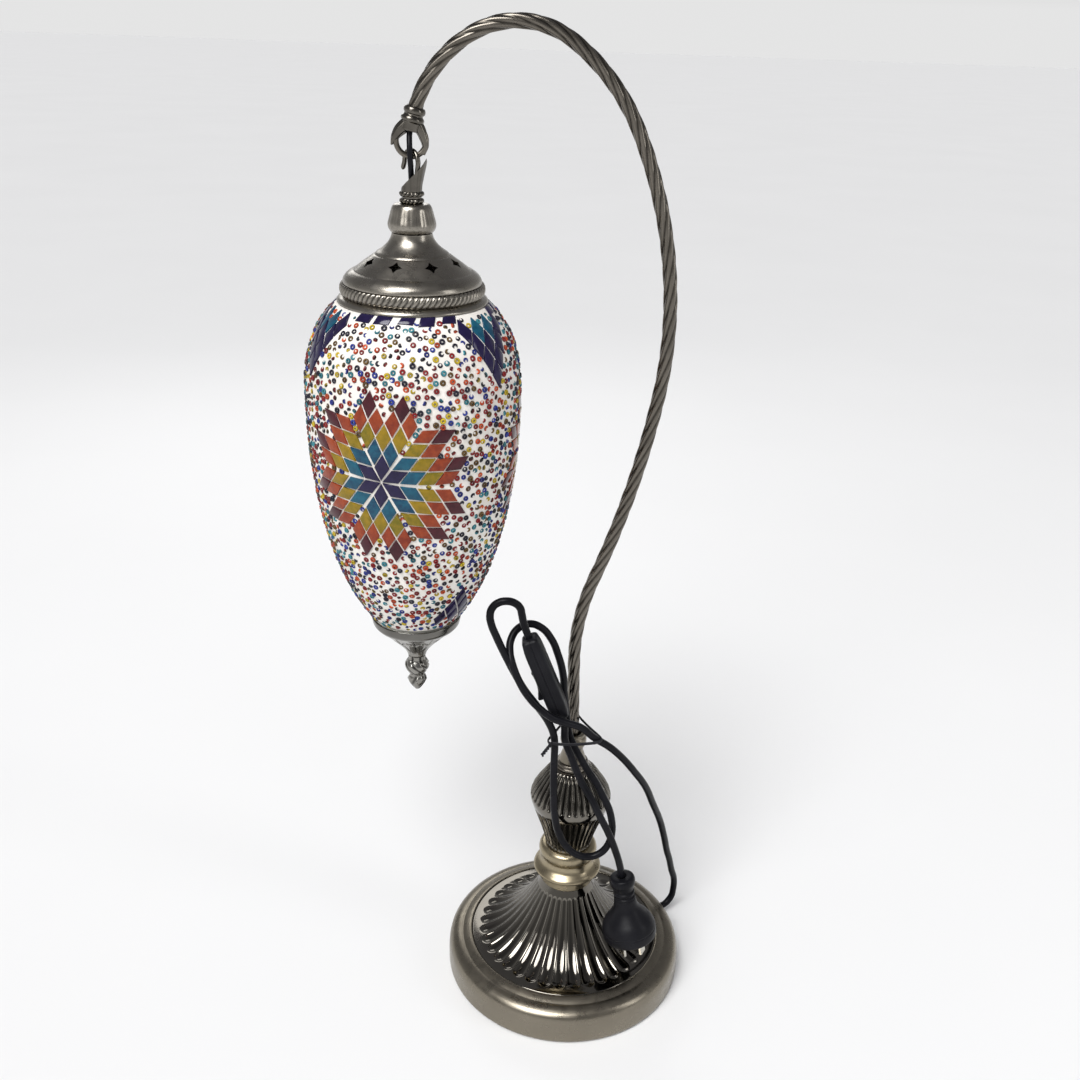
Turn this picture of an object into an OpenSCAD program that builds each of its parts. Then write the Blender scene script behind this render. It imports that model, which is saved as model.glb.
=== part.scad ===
// Swan-neck mosaic glass table lamp.
// Millimetres. Origin at the centre of the base, on the surface that the lamp stands on.
// +Z is up. The arm lies in the XZ plane and carries the shade towards -X. The front is -Y.

/* [Base] */
// Diameter of the drum-shaped base
base_d = 170; // [160:1:180]
// Height of the drum's upper outer edge
drum_h = 24; // [22:1:27]
// Thickness of the spun steel sheet of base and collar
sheet_t = 1.2; // [0.8:0.1:1.6]
// Thickness of the felt under the base
felt_t = 1.5; // [1:0.1:2]
// Height of the cast iron weight inside the base
weight_h = 18; // [16:0.5:18]

/* [Stem] */
// Height at which the fluted dome ends and the collar starts
dome_top_z = 75.5; // [74.5:0.5:77]
// Outer diameter of the hollow threaded rod that holds base and stem together
rod_d = 10; // [9.8:0.1:10]
// Bore of that rod
rod_bore = 7; // [6.5:0.1:7.2]
// Largest diameter of the urn-shaped knop
knop_d = 57; // [54:0.5:58]

/* [Arm] */
// Outer diameter of the arm's tube
arm_d = 8.6; // [8:0.1:9]
// Bore of the arm's tube
arm_bore = 6; // [5.6:0.1:6.4]

/* [Shade] */
// Distance from the base's axis to the axis that the shade hangs on
reach = 107; // [106:0.5:108]
// Radius of the mosaic's outer surface at the belly
shade_r = 65; // [62:0.5:66]
// Thickness of grout, glass chips and beads together
mosaic_t = 2; // [1.5:0.1:2.5]
// Wall thickness of the blown glass
glass_t = 3; // [2:0.1:3.5]
// Diameter of the bulb's globe
bulb_d = 45; // [40:1:45]

/* [Cord] */
// Diameter of the supply cord
cord_d = 5; // [4.6:0.1:5.2]
// Diameter of the lead inside the arm and at the hook
lead_d = 3.2; // [2.8:0.1:3.4]
// Length of the switch on the cord
switch_l = 62; // [60:1:64]
// Diameter of the plug's face
plug_d = 38; // [36:0.5:38]

/* [Hidden] */

eps = 0.01;
round_fn = 64;
base_r = base_d / 2;

// Stem heights
rod_bottom_z = 8.5;
rod_top_z = 189;
collar_top_z = 107;
knop_top_z = 172;
neck_ring_top_z = 177;
neck_top_z = 187;
socket_top_z = 199;
pocket_top_z = 14.2;
pocket_r = 18;

// Arm: a chain of arcs that touch end to end, [radius, turn]. A positive turn bends
// towards the shade. The heading is measured from +Z towards +X.
arm_start = [0, 190];
arm_heading = -3;
arm_arcs = [[2080, -1.8], [165, -22], [613, 11.8], [258, 34.5], [115, 29.4], [51, 64.8], [67, 45]];

// Hanging point: the centre of the ring's wire at the ring's lowest point
pivot_z = 573.5;
ring_r = 8.3;
ring_wire_r = 1.6;
hook_r = 6.5;
hook_wire_r = 1.4;
hook_z = pivot_z + ring_wire_r + 0.4 - (hook_r - hook_wire_r);
hook_turn = -50;
cuff_turn = -18;
cuff_floor_z = 555.5;

// Shade: the drop's outline is r = R * sqrt(1 - (|z - belly| / h) ^ p)
belly_z = 436;
top_h = 74;
top_p = 2.6;
bottom_h = 163;
bottom_p = 2.05;
shoulder_z = 493.5;
neck_lip_z = 502;
neck_r = 37.5;
cup_rim_z = 288.5;
glass_bottom_z = 277;
cap_rim_r = 44;
cap_seat_z = 532.5;

// Cord: the route's own points, by hand, from the base to the switch and on to the plug
exit_turn = 30;
exit_z = 8;
switch_at = [-21.8, -21, 254.5];
switch_lean = 22;
switch_half = switch_l / 2;
switch_top = switch_at + switch_half * [-sin(switch_lean), 0, cos(switch_lean)];
switch_bottom = switch_at - switch_half * [-sin(switch_lean), 0, cos(switch_lean)];
plug_face = [44.5, -38, 56];
plug_tilt = 11;
plug_heading = 155;
plug_axis = [sin(plug_tilt) * cos(plug_heading), sin(plug_tilt) * sin(plug_heading), cos(plug_tilt)];
plug_len = 49;
plug_end = plug_face + plug_len * plug_axis;
grommet_out = base_r + 3.2;
cord_start = [grommet_out * cos(exit_turn), grommet_out * sin(exit_turn), exit_z];
main_route = [
    cord_start, [79, 45.6, 8], [82.6, 47.7, 8.8], [85.7, 49.5, 11.2], [87.8, 50.7, 14.8],
    [88.5, 51.1, 19], [88.4, 50.6, 30], [84.5, 46, 45],
    [81.5, 41, 58], [78, 36, 70.5], [73.5, 28, 90], [68, 20, 110.5], [60, 8, 134],
    [51.5, -4, 158], [42.5, -12, 175], [32, -18, 191], [23, -22.5, 202], [12, -26, 211.5],
    [2, -29, 221.5], [-7.5, -32, 226.5], [-15.5, -33, 230], [-24, -33, 236.5],
    [-32.5, -32, 245.5], [-39, -31, 256.5], [-43.5, -27, 266.5], [-45.5, -21.5, 273.5],
    [-44.5, -16, 280], [-40, -11.5, 285], [-33, -8.5, 286.5], [-25.5, -7.5, 283.5],
    [-18.8, -7, 275.5], [-13.5, -7, 263],
    [-9.5, -8, 247.5], [-8.5, -8, 235.5], [-6.5, -9, 220], [-4, -13, 205.5], [-1, -16, 199],
    [3, -18, 192], [9, -20, 182], [15.5, -22, 172.5], [21, -24, 162], [24.5, -25, 155],
    [27, -26, 146.5], [28, -27, 136.5], [26, -28.5, 127], [20.5, -30, 120], [12.5, -31, 117.5],
    [4, -32, 120], [-3.5, -32, 127], [-9, -32, 138.5], [-12, -32, 151],
    [-13.5, -31, 169], [-14, -29, 183.5], [-14, -26, 194.5], [-14, -23.5, 203.5],
    [-15, -23, 211.5], [-19, -23, 221.5], [-26, -24, 233], [-34.5, -25, 245.5],
    [-41.5, -25, 258], [-48.5, -25, 272.5], [-54.2, -26, 286], [-57.6, -26, 295],
    [-58.5, -26, 301.5], [-57.2, -26, 306.5], [-53.5, -26, 310.2], [-48.5, -26, 311.5],
    [-43.5, -25.4, 310.2], [-39.8, -24.6, 306.5], [-38.5, -23.6, 301.5], [-37.5, -22.5, 296],
    [-35.7, -21.6, 289.5], switch_top
];
plug_route = [
    switch_bottom, [-8, -21, 217], [-7, -21.5, 206], [-2.5, -25, 195], [4, -29, 180],
    [12, -32, 166.5], [18.5, -35, 154], [24.5, -36, 142], [30, -36, 127.5],
    [34, -34.8, 114], plug_end
];

// ---------------------------------------------------------------- shared shapes

function drop_radius(z, r, h_top, h_bottom) =
    z > belly_z ? r * sqrt(1 - pow((z - belly_z) / h_top, top_p))
                : r * sqrt(1 - pow((belly_z - z) / h_bottom, bottom_p));
function mosaic_r(z) = drop_radius(z, shade_r, top_h, bottom_h);
function glass_r(z) = drop_radius(z, shade_r - mosaic_t, top_h - 1, bottom_h - 2);
function inside_r(z) = drop_radius(z, shade_r - mosaic_t - glass_t, top_h - 2.5, bottom_h - 5);

function unit(v) = v / norm(v);
function tangent(p, i) = unit(p[min(i + 1, len(p) - 1)] - p[max(i - 1, 0)]);
function carry(u, t) = unit(u - (u * t) * t);
function sides(p, i, u) =
    i == len(p) ? [] : let (w = carry(u, tangent(p, i))) concat([w], sides(p, i + 1, w));
function ring_points(c, t, u, r, n) =
    let (v = cross(t, u)) [for (k = [0 : n - 1]) c + r * (cos(360 * k / n) * u + sin(360 * k / n) * v)];

// A tube swept along a list of points, with flat ends
module swept_tube(p, d, n, start_side) {
    side = sides(p, 0, start_side);
    last = (len(p) - 1) * n;
    points = [for (i = [0 : len(p) - 1]) each ring_points(p[i], tangent(p, i), side[i], d / 2, n)];
    walls = [for (i = [0 : len(p) - 2]) for (k = [0 : n - 1]) for (h = [0, 1])
        let (a = i * n + k, b = i * n + (k + 1) % n) h == 0 ? [a, b, b + n] : [a, b + n, a + n]];
    first_cap = [[for (k = [n - 1 : -1 : 0]) k]];
    last_cap = [[for (k = [0 : n - 1]) last + k]];
    faces = concat(first_cap, walls, last_cap);
    polyhedron(points = points, faces = [for (f = faces) [for (k = [len(f) - 1 : -1 : 0]) f[k]]]);
}

// The same with a bore. The outer and the inner wall share one list of rings
module swept_pipe(p, d_out, d_in, n, start_side) {
    side = sides(p, 0, start_side);
    rows = len(p);
    points = concat(
        [for (i = [0 : rows - 1]) each ring_points(p[i], tangent(p, i), side[i], d_out / 2, n)],
        [for (i = [0 : rows - 1]) each ring_points(p[i], tangent(p, i), side[i], d_in / 2, n)]
    );
    inner = rows * n;
    outer_wall = [for (i = [0 : rows - 2]) for (k = [0 : n - 1]) for (h = [0, 1])
        let (a = i * n + k, b = i * n + (k + 1) % n) h == 0 ? [b + n, b, a] : [a + n, b + n, a]];
    inner_wall = [for (f = outer_wall) [inner + f[2], inner + f[1], inner + f[0]]];
    first_end = [for (k = [0 : n - 1]) for (h = [0, 1])
        let (a = k, b = (k + 1) % n) h == 0 ? [a, b, inner + b] : [a, inner + b, inner + a]];
    last_end = [for (f = first_end) [f[2], f[1], f[0]] + (rows - 1) * n * [1, 1, 1]];
    polyhedron(points = points, faces = concat(outer_wall, inner_wall, first_end, last_end));
}

module tube(r_out, r_in, z0, z1) {
    difference() {
        translate([0, 0, z0]) cylinder(r = r_out, h = z1 - z0, $fn = round_fn);
        translate([0, 0, z0 - 1]) cylinder(r = r_in, h = z1 - z0 + 2, $fn = round_fn);
    }
}

module turned(outline) {
    rotate_extrude($fn = round_fn) polygon(outline);
}

module hex_nut(across_flats, r_in, z0, z1) {
    difference() {
        translate([0, 0, z0]) cylinder(d = across_flats / cos(30), h = z1 - z0, $fn = 6);
        translate([0, 0, z0 - 1]) cylinder(r = r_in, h = z1 - z0 + 2, $fn = round_fn);
    }
}

module on_shade_axis() {
    translate([-reach, 0, 0]) children();
}

// Places a shape, drawn at radius 0 and heading +X, at the cord's exit in the base's wall
module at_exit() {
    rotate([0, 0, exit_turn]) translate([base_r, 0, exit_z]) rotate([0, 90, 0]) children();
}

// ---------------------------------------------------------------- arm geometry

function heading_at(i) = i == 0 ? arm_heading : heading_at(i - 1) - arm_arcs[i - 1][1];
function left_of(h) = [-cos(h), sin(h)];
function arc_sign(i) = arm_arcs[i][1] > 0 ? 1 : -1;
function arc_centre(i) = point_at(i) + arc_sign(i) * arm_arcs[i][0] * left_of(heading_at(i));
function point_at(i) = i == 0 ? arm_start
    : arc_centre(i - 1) - arc_sign(i - 1) * arm_arcs[i - 1][0] * left_of(heading_at(i));
arm_end = point_at(len(arm_arcs));
end_heading = heading_at(len(arm_arcs));

// A straight bore for the arm's foot
module arm_bore_hole(r) {
    translate([arm_start[0], 0, arm_start[1]]) rotate([0, arm_heading, 0])
        cylinder(r = r, h = 20, $fn = round_fn);
}

// The arm's end, with +Z pointing on along the arm
module at_arm_end() {
    translate([arm_end[0], 0, arm_end[1]]) rotate([0, end_heading, 0]) children();
}

// Points along the arm's centre line, for its tube and for the lead inside it
function arc_points(i, n) = [for (k = [0 : n - 1])
    let (h = heading_at(i) - arm_arcs[i][1] * k / n,
         q = arc_centre(i) - arc_sign(i) * arm_arcs[i][0] * left_of(h)) [q[0], 0, q[1]]];
arm_rings = [3, 6, 6, 11, 7, 9, 7];
arm_line = concat(
    [for (i = [0 : len(arm_arcs) - 1]) each arc_points(i, arm_rings[i])],
    [[arm_end[0], 0, arm_end[1]]]
);

// ---------------------------------------------------------------- base

module felt_pad() {
    color([0.08, 0.08, 0.09]) cylinder(r = base_r - 3, h = felt_t, $fn = round_fn);
}

module base_weight() {
    color([0.22, 0.22, 0.23]) difference() {
        translate([0, 0, felt_t]) cylinder(r = base_r - 8, h = weight_h, $fn = round_fn);
        translate([0, 0, felt_t - 1]) cylinder(r = pocket_r, h = pocket_top_z - felt_t + 1, $fn = round_fn);
        cylinder(d = rod_d + 0.4, h = 40, $fn = round_fn);
        rotate([0, 0, exit_turn]) translate([0, -4, felt_t - 1]) cube([base_r, 8, 10.5]);
    }
}

module base_pan() {
    color([0.42, 0.38, 0.33]) difference() {
        turned([
            [base_r - 2.5, 0.6], [base_r - 0.6, 1.6], [base_r, 4], [base_r, drum_h - 9],
            [base_r - 0.6, drum_h - 5], [base_r - 1.8, drum_h - 2], [base_r - 3.6, drum_h],
            [base_r - 6, drum_h + 1.3], [base_r - 9, drum_h + 1.8], [base_r - 11.5, drum_h + 2.4],
            [base_r - 15, drum_h + 3.6], [base_r - 16.8, drum_h + 4], [base_r - 16.8, drum_h + 1.8],
            [base_r - 19.5, drum_h + 1.8], [base_r - 19.5, drum_h + 0.6], [base_r - 12, drum_h + 1],
            [base_r - 7, drum_h - 0.2], [base_r - 4.6, drum_h - 1.2], [base_r - 3, drum_h - 3],
            [base_r - 1.9, drum_h - 6], [base_r - sheet_t, drum_h - 9.5],
            [base_r - sheet_t, 4], [base_r - 2.5, 2.2]
        ]);
        at_exit() translate([0, 0, -10]) cylinder(r = 4.5, h = 20, $fn = round_fn);
    }
}

// The dome's outline rises like the bell of a trumpet
dome_foot = [base_r - 17, drum_h + 3.4];
dome_neck_r = 18;
dome_p = 2.2;
function dome_z(r) = dome_foot[1]
    + (dome_top_z - dome_foot[1]) * pow(1 - (r - dome_neck_r) / (dome_foot[0] - dome_neck_r), dome_p);
dome_steps = 12;
function dome_r(k) = dome_foot[0] - (dome_foot[0] - dome_neck_r) * sin(90 * k / dome_steps);

module base_dome() {
    outer = [for (k = [0 : dome_steps]) [dome_r(k), dome_z(dome_r(k))]];
    inner = [for (k = [dome_steps : -1 : 0]) [dome_r(k) - sheet_t, dome_z(dome_r(k)) - sheet_t - 0.3]];
    color([0.20, 0.19, 0.19]) difference() {
        union() {
            turned(concat(outer, inner));
            translate([0, 0, dome_top_z - 2.5]) cylinder(r = dome_neck_r, h = 2.5, $fn = round_fn);
        }
        cylinder(d = rod_d + 0.4, h = 100, $fn = round_fn);
    }
}

module base_nut() {
    color([0.72, 0.70, 0.62]) hex_nut(15, rod_d / 2, rod_bottom_z + 0.8, pocket_top_z - 1);
}

module base_washer() {
    color([0.66, 0.66, 0.64]) tube(12, rod_d / 2 + 0.1, pocket_top_z - 1, pocket_top_z);
}

module tie_rod() {
    color([0.62, 0.58, 0.48]) tube(rod_d / 2, rod_bore / 2, rod_bottom_z, rod_top_z);
}

module cord_grommet() {
    color([0.07, 0.07, 0.08]) at_exit() difference() {
        union() {
            translate([0, 0, -4]) cylinder(r = 4.4, h = 5, $fn = round_fn);
            translate([0, 0, 0.2]) cylinder(r = 5.6, h = 2.8, $fn = round_fn);
            translate([0, 0, -4]) cylinder(r = 5.2, h = 2, $fn = round_fn);
        }
        translate([0, 0, -5]) cylinder(r = lead_d / 2 + 0.1, h = 8, $fn = round_fn);
    }
}

// ---------------------------------------------------------------- stem

module stem_collar() {
    bore_r = rod_d / 2 + 0.2;
    color([0.55, 0.49, 0.38]) turned([
        [bore_r, dome_top_z], [19, dome_top_z], [19, 84], [22.6, 84.4], [23.9, 85.4],
        [24.2, 86.8], [23.5, 88.3], [21.4, 89.8], [19.7, 91.4], [18.9, 93.4], [18.7, 96.4],
        [19.5, 97.2], [20.3, 99.2], [20.7, 102], [20.2, 104.5], [18.6, 106.3],
        [16.5, collar_top_z], [bore_r, collar_top_z]
    ]);
}

module stem_knop() {
    bore_r = rod_d / 2 + 0.2;
    r = knop_d / 2;
    color([0.20, 0.19, 0.19]) turned([
        [bore_r, collar_top_z], [r - 12.5, collar_top_z], [r - 12, 109], [r - 11, 113], [r - 9, 118],
        [r - 7, 122], [r - 4.2, 127.5], [r - 1.8, 133], [r - 0.5, 138], [r, 143],
        [r - 0.3, 147], [r - 1.6, 151.5], [r - 4, 156], [r - 6.6, 160.5], [r - 9, 165],
        [r - 12, 169], [r - 16, knop_top_z], [bore_r, knop_top_z]
    ]);
}

module neck_ring() {
    bore_r = rod_d / 2 + 0.2;
    color([0.38, 0.35, 0.30]) turned([
        [bore_r, knop_top_z], [11, knop_top_z], [11.8, 172.8], [11.8, 173.6], [10.8, 174.3],
        [10.6, 174.7], [11, 175.2], [11, 176], [10.2, neck_ring_top_z], [bore_r, neck_ring_top_z]
    ]);
}

module stem_neck() {
    bore_r = rod_d / 2 + 0.2;
    color([0.36, 0.34, 0.31]) turned([
        [bore_r, neck_ring_top_z], [9.6, neck_ring_top_z], [8.6, 180], [7.4, 183.5], [6.8, 185.5],
        [7, neck_top_z], [bore_r, neck_top_z]
    ]);
}

module arm_socket() {
    color([0.40, 0.37, 0.33]) difference() {
        turned([
            [0, neck_top_z], [7, neck_top_z], [7.4, 188.4], [8.4, 190], [9, 192.5], [9, 194.5],
            [8.2, 196.4], [7.6, 197], [7.6, 198], [6.8, socket_top_z], [0, socket_top_z]
        ]);
        translate([0, 0, neck_top_z - 1]) cylinder(d = rod_d, h = rod_top_z - neck_top_z + 1, $fn = round_fn);
        translate([0, 0, rod_top_z - eps]) cylinder(d = arm_bore, h = 3, $fn = round_fn);
        arm_bore_hole(arm_d / 2 + 0.05);
        rotate([0, 0, 90]) translate([4.2, 0, 193.5]) rotate([0, 90, 0]) cylinder(r = 1.5, h = 8, $fn = 32);
    }
}

module socket_screw() {
    color([0.30, 0.29, 0.28]) rotate([0, 0, 90]) translate([0, 0, 193.5]) rotate([0, 90, 0]) difference() {
        translate([0, 0, 4.5]) cylinder(r = 1.45, h = 5, $fn = 32);
        translate([-0.3, -2, 8.7]) cube([0.6, 4, 2]);
    }
}

// ---------------------------------------------------------------- arm

module arm_tube() {
    color([0.27, 0.25, 0.22]) swept_pipe(arm_line, arm_d, arm_bore, 12, [0, 1, 0]);
}

module tip_ferrule() {
    color([0.42, 0.40, 0.36]) at_arm_end() difference() {
        turned([
            [0, -2.5], [4.9, -2.5], [5.9, -1.6], [6.2, -0.4], [5.9, 0.9], [5.1, 1.7], [5.3, 2.4],
            [6.3, 3.2], [6.6, 4.3], [6.2, 5.4], [5.4, 6], [5.2, 8], [5, 10.5], [0, 10.5]
        ]);
        translate([0, 0, -3]) cylinder(d = arm_d + 0.6, h = 3.35, $fn = round_fn);
        cylinder(r = 2.4, h = 12, $fn = round_fn);
    }
}

// Two pointed quills reach down from the ferrule and hold the ring between them
module claw(points) {
    for (k = [0 : len(points) - 2]) hull() {
        translate([points[k][0], 0, points[k][1]]) sphere(r = points[k][2], $fn = 16);
        translate([points[k + 1][0], 0, points[k + 1][1]]) sphere(r = points[k + 1][2], $fn = 16);
    }
}

module tip_claws() {
    color([0.40, 0.38, 0.34]) translate([-reach, 0, 0]) difference() {
        union() {
            claw([[-2.8, 589.4, 2.6], [-6.6, 586.6, 2.3], [-10.2, 582.2, 1.2]]);
            claw([[2.4, 589.8, 2.5], [5.2, 586.6, 2.2], [7.6, 581.8, 1.7], [7.4, 577, 0.9]]);
        }
        rotate([90, 0, 0]) translate([0, pivot_z + ring_r, -5]) rotate_extrude($fn = round_fn)
            translate([ring_r, 5]) circle(r = ring_wire_r + 0.05, $fn = 32);
        translate([0, 0, 580]) cylinder(r = 2.2, h = 12, $fn = 32);
        translate([reach, 0, 0]) at_arm_end() translate([0, 0, -2])
            cylinder(r = 5.45, h = 12.6, $fn = round_fn);
    }
}

module tip_ring() {
    color([0.34, 0.32, 0.29]) on_shade_axis() difference() {
        translate([0, 0, pivot_z + ring_r]) rotate([90, 0, 0]) rotate_extrude($fn = round_fn)
            translate([ring_r, 0]) circle(r = ring_wire_r, $fn = 32);
        translate([-30, -5, 586]) cube([60, 10, 10]);
    }
}

// The lead runs from the grommet under the weight, up the rod and through the arm
module inner_lead() {
    start = base_r - 5;
    route = concat(
        [for (r = [start, 60, 40, 22, 12])
            [r * cos(exit_turn), r * sin(exit_turn), exit_z - (r < 60 ? 2.6 : 1.3 * (start - r) / 10)]],
        [[5.5, 3, 6], [1.8, 1, 8.5], [0, 0, 14]],
        [for (z = [30 : 40 : 182]) [0, 0, z]],
        arm_line,
        [[arm_end[0] + 8.6 * sin(end_heading), 0, arm_end[1] + 8.6 * cos(end_heading)]]
    );
    color([0.05, 0.05, 0.06]) swept_tube(route, lead_d, 8, [0, 0, 1]);
}

// ---------------------------------------------------------------- hanger

// The short visible lead passes in front of the ring and the hook
module hanger_lead() {
    top = [arm_end[0] + 9.2 * sin(end_heading), 0, arm_end[1] + 9.2 * cos(end_heading)];
    route = [
        top, [-reach - 0.8, -1, 584.5], [-reach - 0.6, -3.2, 580.5], [-reach - 0.4, -4.6, 576.5],
        [-reach - 0.2, -4.7, 572.5], [-reach, -3.9, 568.5], [-reach, -2.4, 564.5],
        [-reach, -0.8, 560.5], [-reach, 0, cuff_floor_z]
    ];
    color([0.05, 0.05, 0.06]) swept_tube(route, lead_d, 8, [1, 0, 0]);
}

module rod_between(a, b, r) {
    v = b - a;
    translate(a) rotate([0, acos(v[2] / norm(v)), atan2(v[1], v[0])]) cylinder(r = r, h = norm(v), $fn = 32);
}

module hanger_hook() {
    color([0.45, 0.43, 0.39]) on_shade_axis() rotate([0, 0, hook_turn]) {
        translate([0, 0, hook_z]) rotate([90, 0, 0])
            rotate_extrude(angle = 180, $fn = round_fn)
                translate([hook_r, 0]) circle(r = hook_wire_r, $fn = 32);
        rod_between([hook_r, 0, hook_z], [3.4, 0, cuff_floor_z], hook_wire_r);
        rod_between([-hook_r, 0, hook_z], [-hook_r - 2, 0, hook_z - 4.5], hook_wire_r);
        translate([hook_r, 0, hook_z]) sphere(r = hook_wire_r, $fn = 32);
        translate([-hook_r, 0, hook_z]) sphere(r = hook_wire_r, $fn = 32);
        translate([-hook_r - 2, 0, hook_z - 4.5]) sphere(r = hook_wire_r, $fn = 32);
    }
}

// A quill-shaped cuff, cut on the slant, that hides the foot of the hook
module hanger_cuff() {
    color([0.40, 0.38, 0.34]) on_shade_axis() rotate([0, 0, cuff_turn]) difference() {
        turned([
            [0, 548.5], [6.2, 548.5], [6.7, 549.6], [6.7, 550.6], [6, 551.6], [6.2, 552.2],
            [6.7, 553.2], [6.7, 554], [6.2, 555], [6.4, 558], [7.4, 562], [8.7, 567], [9.7, 573], [0, 573]
        ]);
        turned([
            [0, cuff_floor_z], [4.9, cuff_floor_z], [5.2, 558], [6.2, 562], [7.5, 567], [8.5, 574], [0, 574]
        ]);
        translate([-6.5, -15, 556]) rotate([0, -46, 0]) cube([40, 30, 40]);
        translate([0, 0, 548]) cylinder(r = 4, h = 3.5, $fn = round_fn);
        translate([0, 0, 548]) cylinder(r = lead_d / 2 + 0.1, h = 9, $fn = round_fn);
    }
}

module nipple() {
    color([0.62, 0.58, 0.48]) on_shade_axis() tube(4, 2.5, 505, 551.5);
}

module top_knob() {
    color([0.33, 0.31, 0.28]) on_shade_axis() turned([
        [4.05, cap_seat_z], [11.8, cap_seat_z], [13, 533.6], [13.8, 535.5], [13.9, 537.2], [13.4, 539.2],
        [12.6, 541.5], [12, 544], [11.4, 546], [10, 547.8], [8.2, 548.5], [4.05, 548.5]
    ]);
}

module star_prism() {
    linear_extrude(height = 10, center = true)
        polygon([for (k = [0 : 7]) (k % 2 == 0 ? 4.2 : 2.2) * [cos(45 * k), sin(45 * k)]]);
}

star_count = 8;
star_r = 27.4;
star_z = 516;
star_slope = 36.5;
star_turn = -67;

module shade_cap() {
    color([0.42, 0.39, 0.34]) on_shade_axis() difference() {
        turned([
            [4.05, cap_seat_z], [4.05, 531], [10.6, 531], [11.4, 527.8], [13.4, 524.8], [17, 521.6],
            [20.2, 519.9], [21.6, 519], [32.2, 511.2], [34.4, 509.8], [36.8, 508],
            [38.4, 505.6], [39, 503.6], [39, 497.8], [38.9, 496.8], [40.8, 495.6], [42.6, shoulder_z],
            [cap_rim_r, shoulder_z], [cap_rim_r, 494.6], [42.6, 496], [41, 497], [41.4, 498.4],
            [41.8, 500.5], [41.2, 503.4], [40.2, 504.4], [40.1, 505.6], [39.4, 507.2], [37.6, 509.2],
            [35.2, 510.9], [33.3, 511.9], [22.6, 519.8], [21.4, 520.1], [20.6, 521.5],
            [18, 523], [14.4, 526], [12.4, 529], [11.6, cap_seat_z]
        ]);
        for (k = [0 : star_count - 1]) rotate([0, 0, star_turn + 360 * k / star_count])
            translate([star_r, 0, star_z]) rotate([0, star_slope, 0]) star_prism();
    }
}

module cap_washer() {
    color([0.66, 0.66, 0.64]) on_shade_axis() tube(8, 4.1, 530, 531);
}

module cap_nut() {
    color([0.72, 0.70, 0.62]) on_shade_axis() hex_nut(14, 4, 526.5, 530);
}

module cap_gasket() {
    color([0.75, 0.75, 0.72]) on_shade_axis() tube(38.9, neck_r, 498, neck_lip_z);
}

// ---------------------------------------------------------------- lamp holder and bulb

holder_top_z = 510;
holder_seat_z = 497;
holder_bottom_z = 466;

module holder_cap() {
    color([0.09, 0.09, 0.10]) on_shade_axis() turned([
        [4, holder_top_z], [4, 505], [3, 505], [3, 503], [11, 503], [12, holder_seat_z],
        [14, holder_seat_z], [14, 503], [12.4, 506.5], [9, 509.3], [6, holder_top_z]
    ]);
}

module holder_shell() {
    color([0.10, 0.10, 0.11]) on_shade_axis() turned([
        [0, 498], [0, 490], [7.2, 490], [7.2, holder_bottom_z], [11.5, holder_bottom_z],
        [13, 468], [14, 474], [14, holder_seat_z], [11.9, holder_seat_z], [11.9, 498]
    ]);
}

module bulb_base() {
    color([0.75, 0.72, 0.62]) on_shade_axis() turned([
        [0, 489.5], [2.4, 489.5], [3, 488], [6.2, 486.5], [6.9, 485], [6.9, 464], [0, 464]
    ]);
}

bulb_z = 421;
bulb_r = bulb_d / 2;
function bulb_arc(a) = [bulb_r * cos(a), bulb_z + bulb_r * sin(a)];

module bulb_glass() {
    color([0.96, 0.94, 0.88, 0.8]) on_shade_axis() turned(concat(
        [for (a = [-90 : 15 : 45]) [max(0, bulb_arc(a)[0]), bulb_arc(a)[1]]],
        [[12.6, 443], [10, 452], [8.6, 460], [6.8, 464], [0, 464]]
    ));
}

// ---------------------------------------------------------------- shade

drop_steps = 22;
function span_z(k, z0, z1) = z0 + (z1 - z0) * (1 - cos(180 * k / drop_steps)) / 2;

module glass_shade() {
    outer = [for (k = [0 : drop_steps])
        let (z = span_z(k, glass_bottom_z, shoulder_z - 1)) [glass_r(z), z]];
    inner = [for (k = [drop_steps : -1 : 0])
        let (z = span_z(k, glass_bottom_z + 4, shoulder_z - 2)) [inside_r(z), z]];
    color([0.95, 0.94, 0.90, 0.6]) on_shade_axis() turned(concat(
        [[3.2, glass_bottom_z]], outer,
        [[40, 494.8], [38.2, 496.2], [neck_r, 498], [neck_r, neck_lip_z],
         [neck_r - glass_t, neck_lip_z], [neck_r - glass_t, 497.5], [35.4, 495.4], [37.6, 493.4]],
        inner, [[3.2, glass_bottom_z + 4]]
    ));
}

// Grout with its chips and beads, as one thin skin over the glass
module mosaic_skin() {
    z0 = cup_rim_z + 0.5;
    z1 = shoulder_z - 0.4;
    outer = [for (k = [0 : drop_steps]) let (z = span_z(k, z0, z1)) [mosaic_r(z), z]];
    inner = [for (k = [drop_steps : -1 : 0]) let (z = span_z(k, z0, z1)) [glass_r(z) + 0.12, z]];
    color([0.75, 0.55, 0.50]) on_shade_axis() turned(concat(outer, inner));
}

module cup_gasket() {
    color([0.75, 0.75, 0.72]) on_shade_axis() turned([
        [glass_r(286) + 0.15, 286], [27, 286], [27.4, cup_rim_z - 0.6],
        [glass_r(cup_rim_z - 0.6) + 0.15, cup_rim_z - 0.6]
    ]);
}

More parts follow.
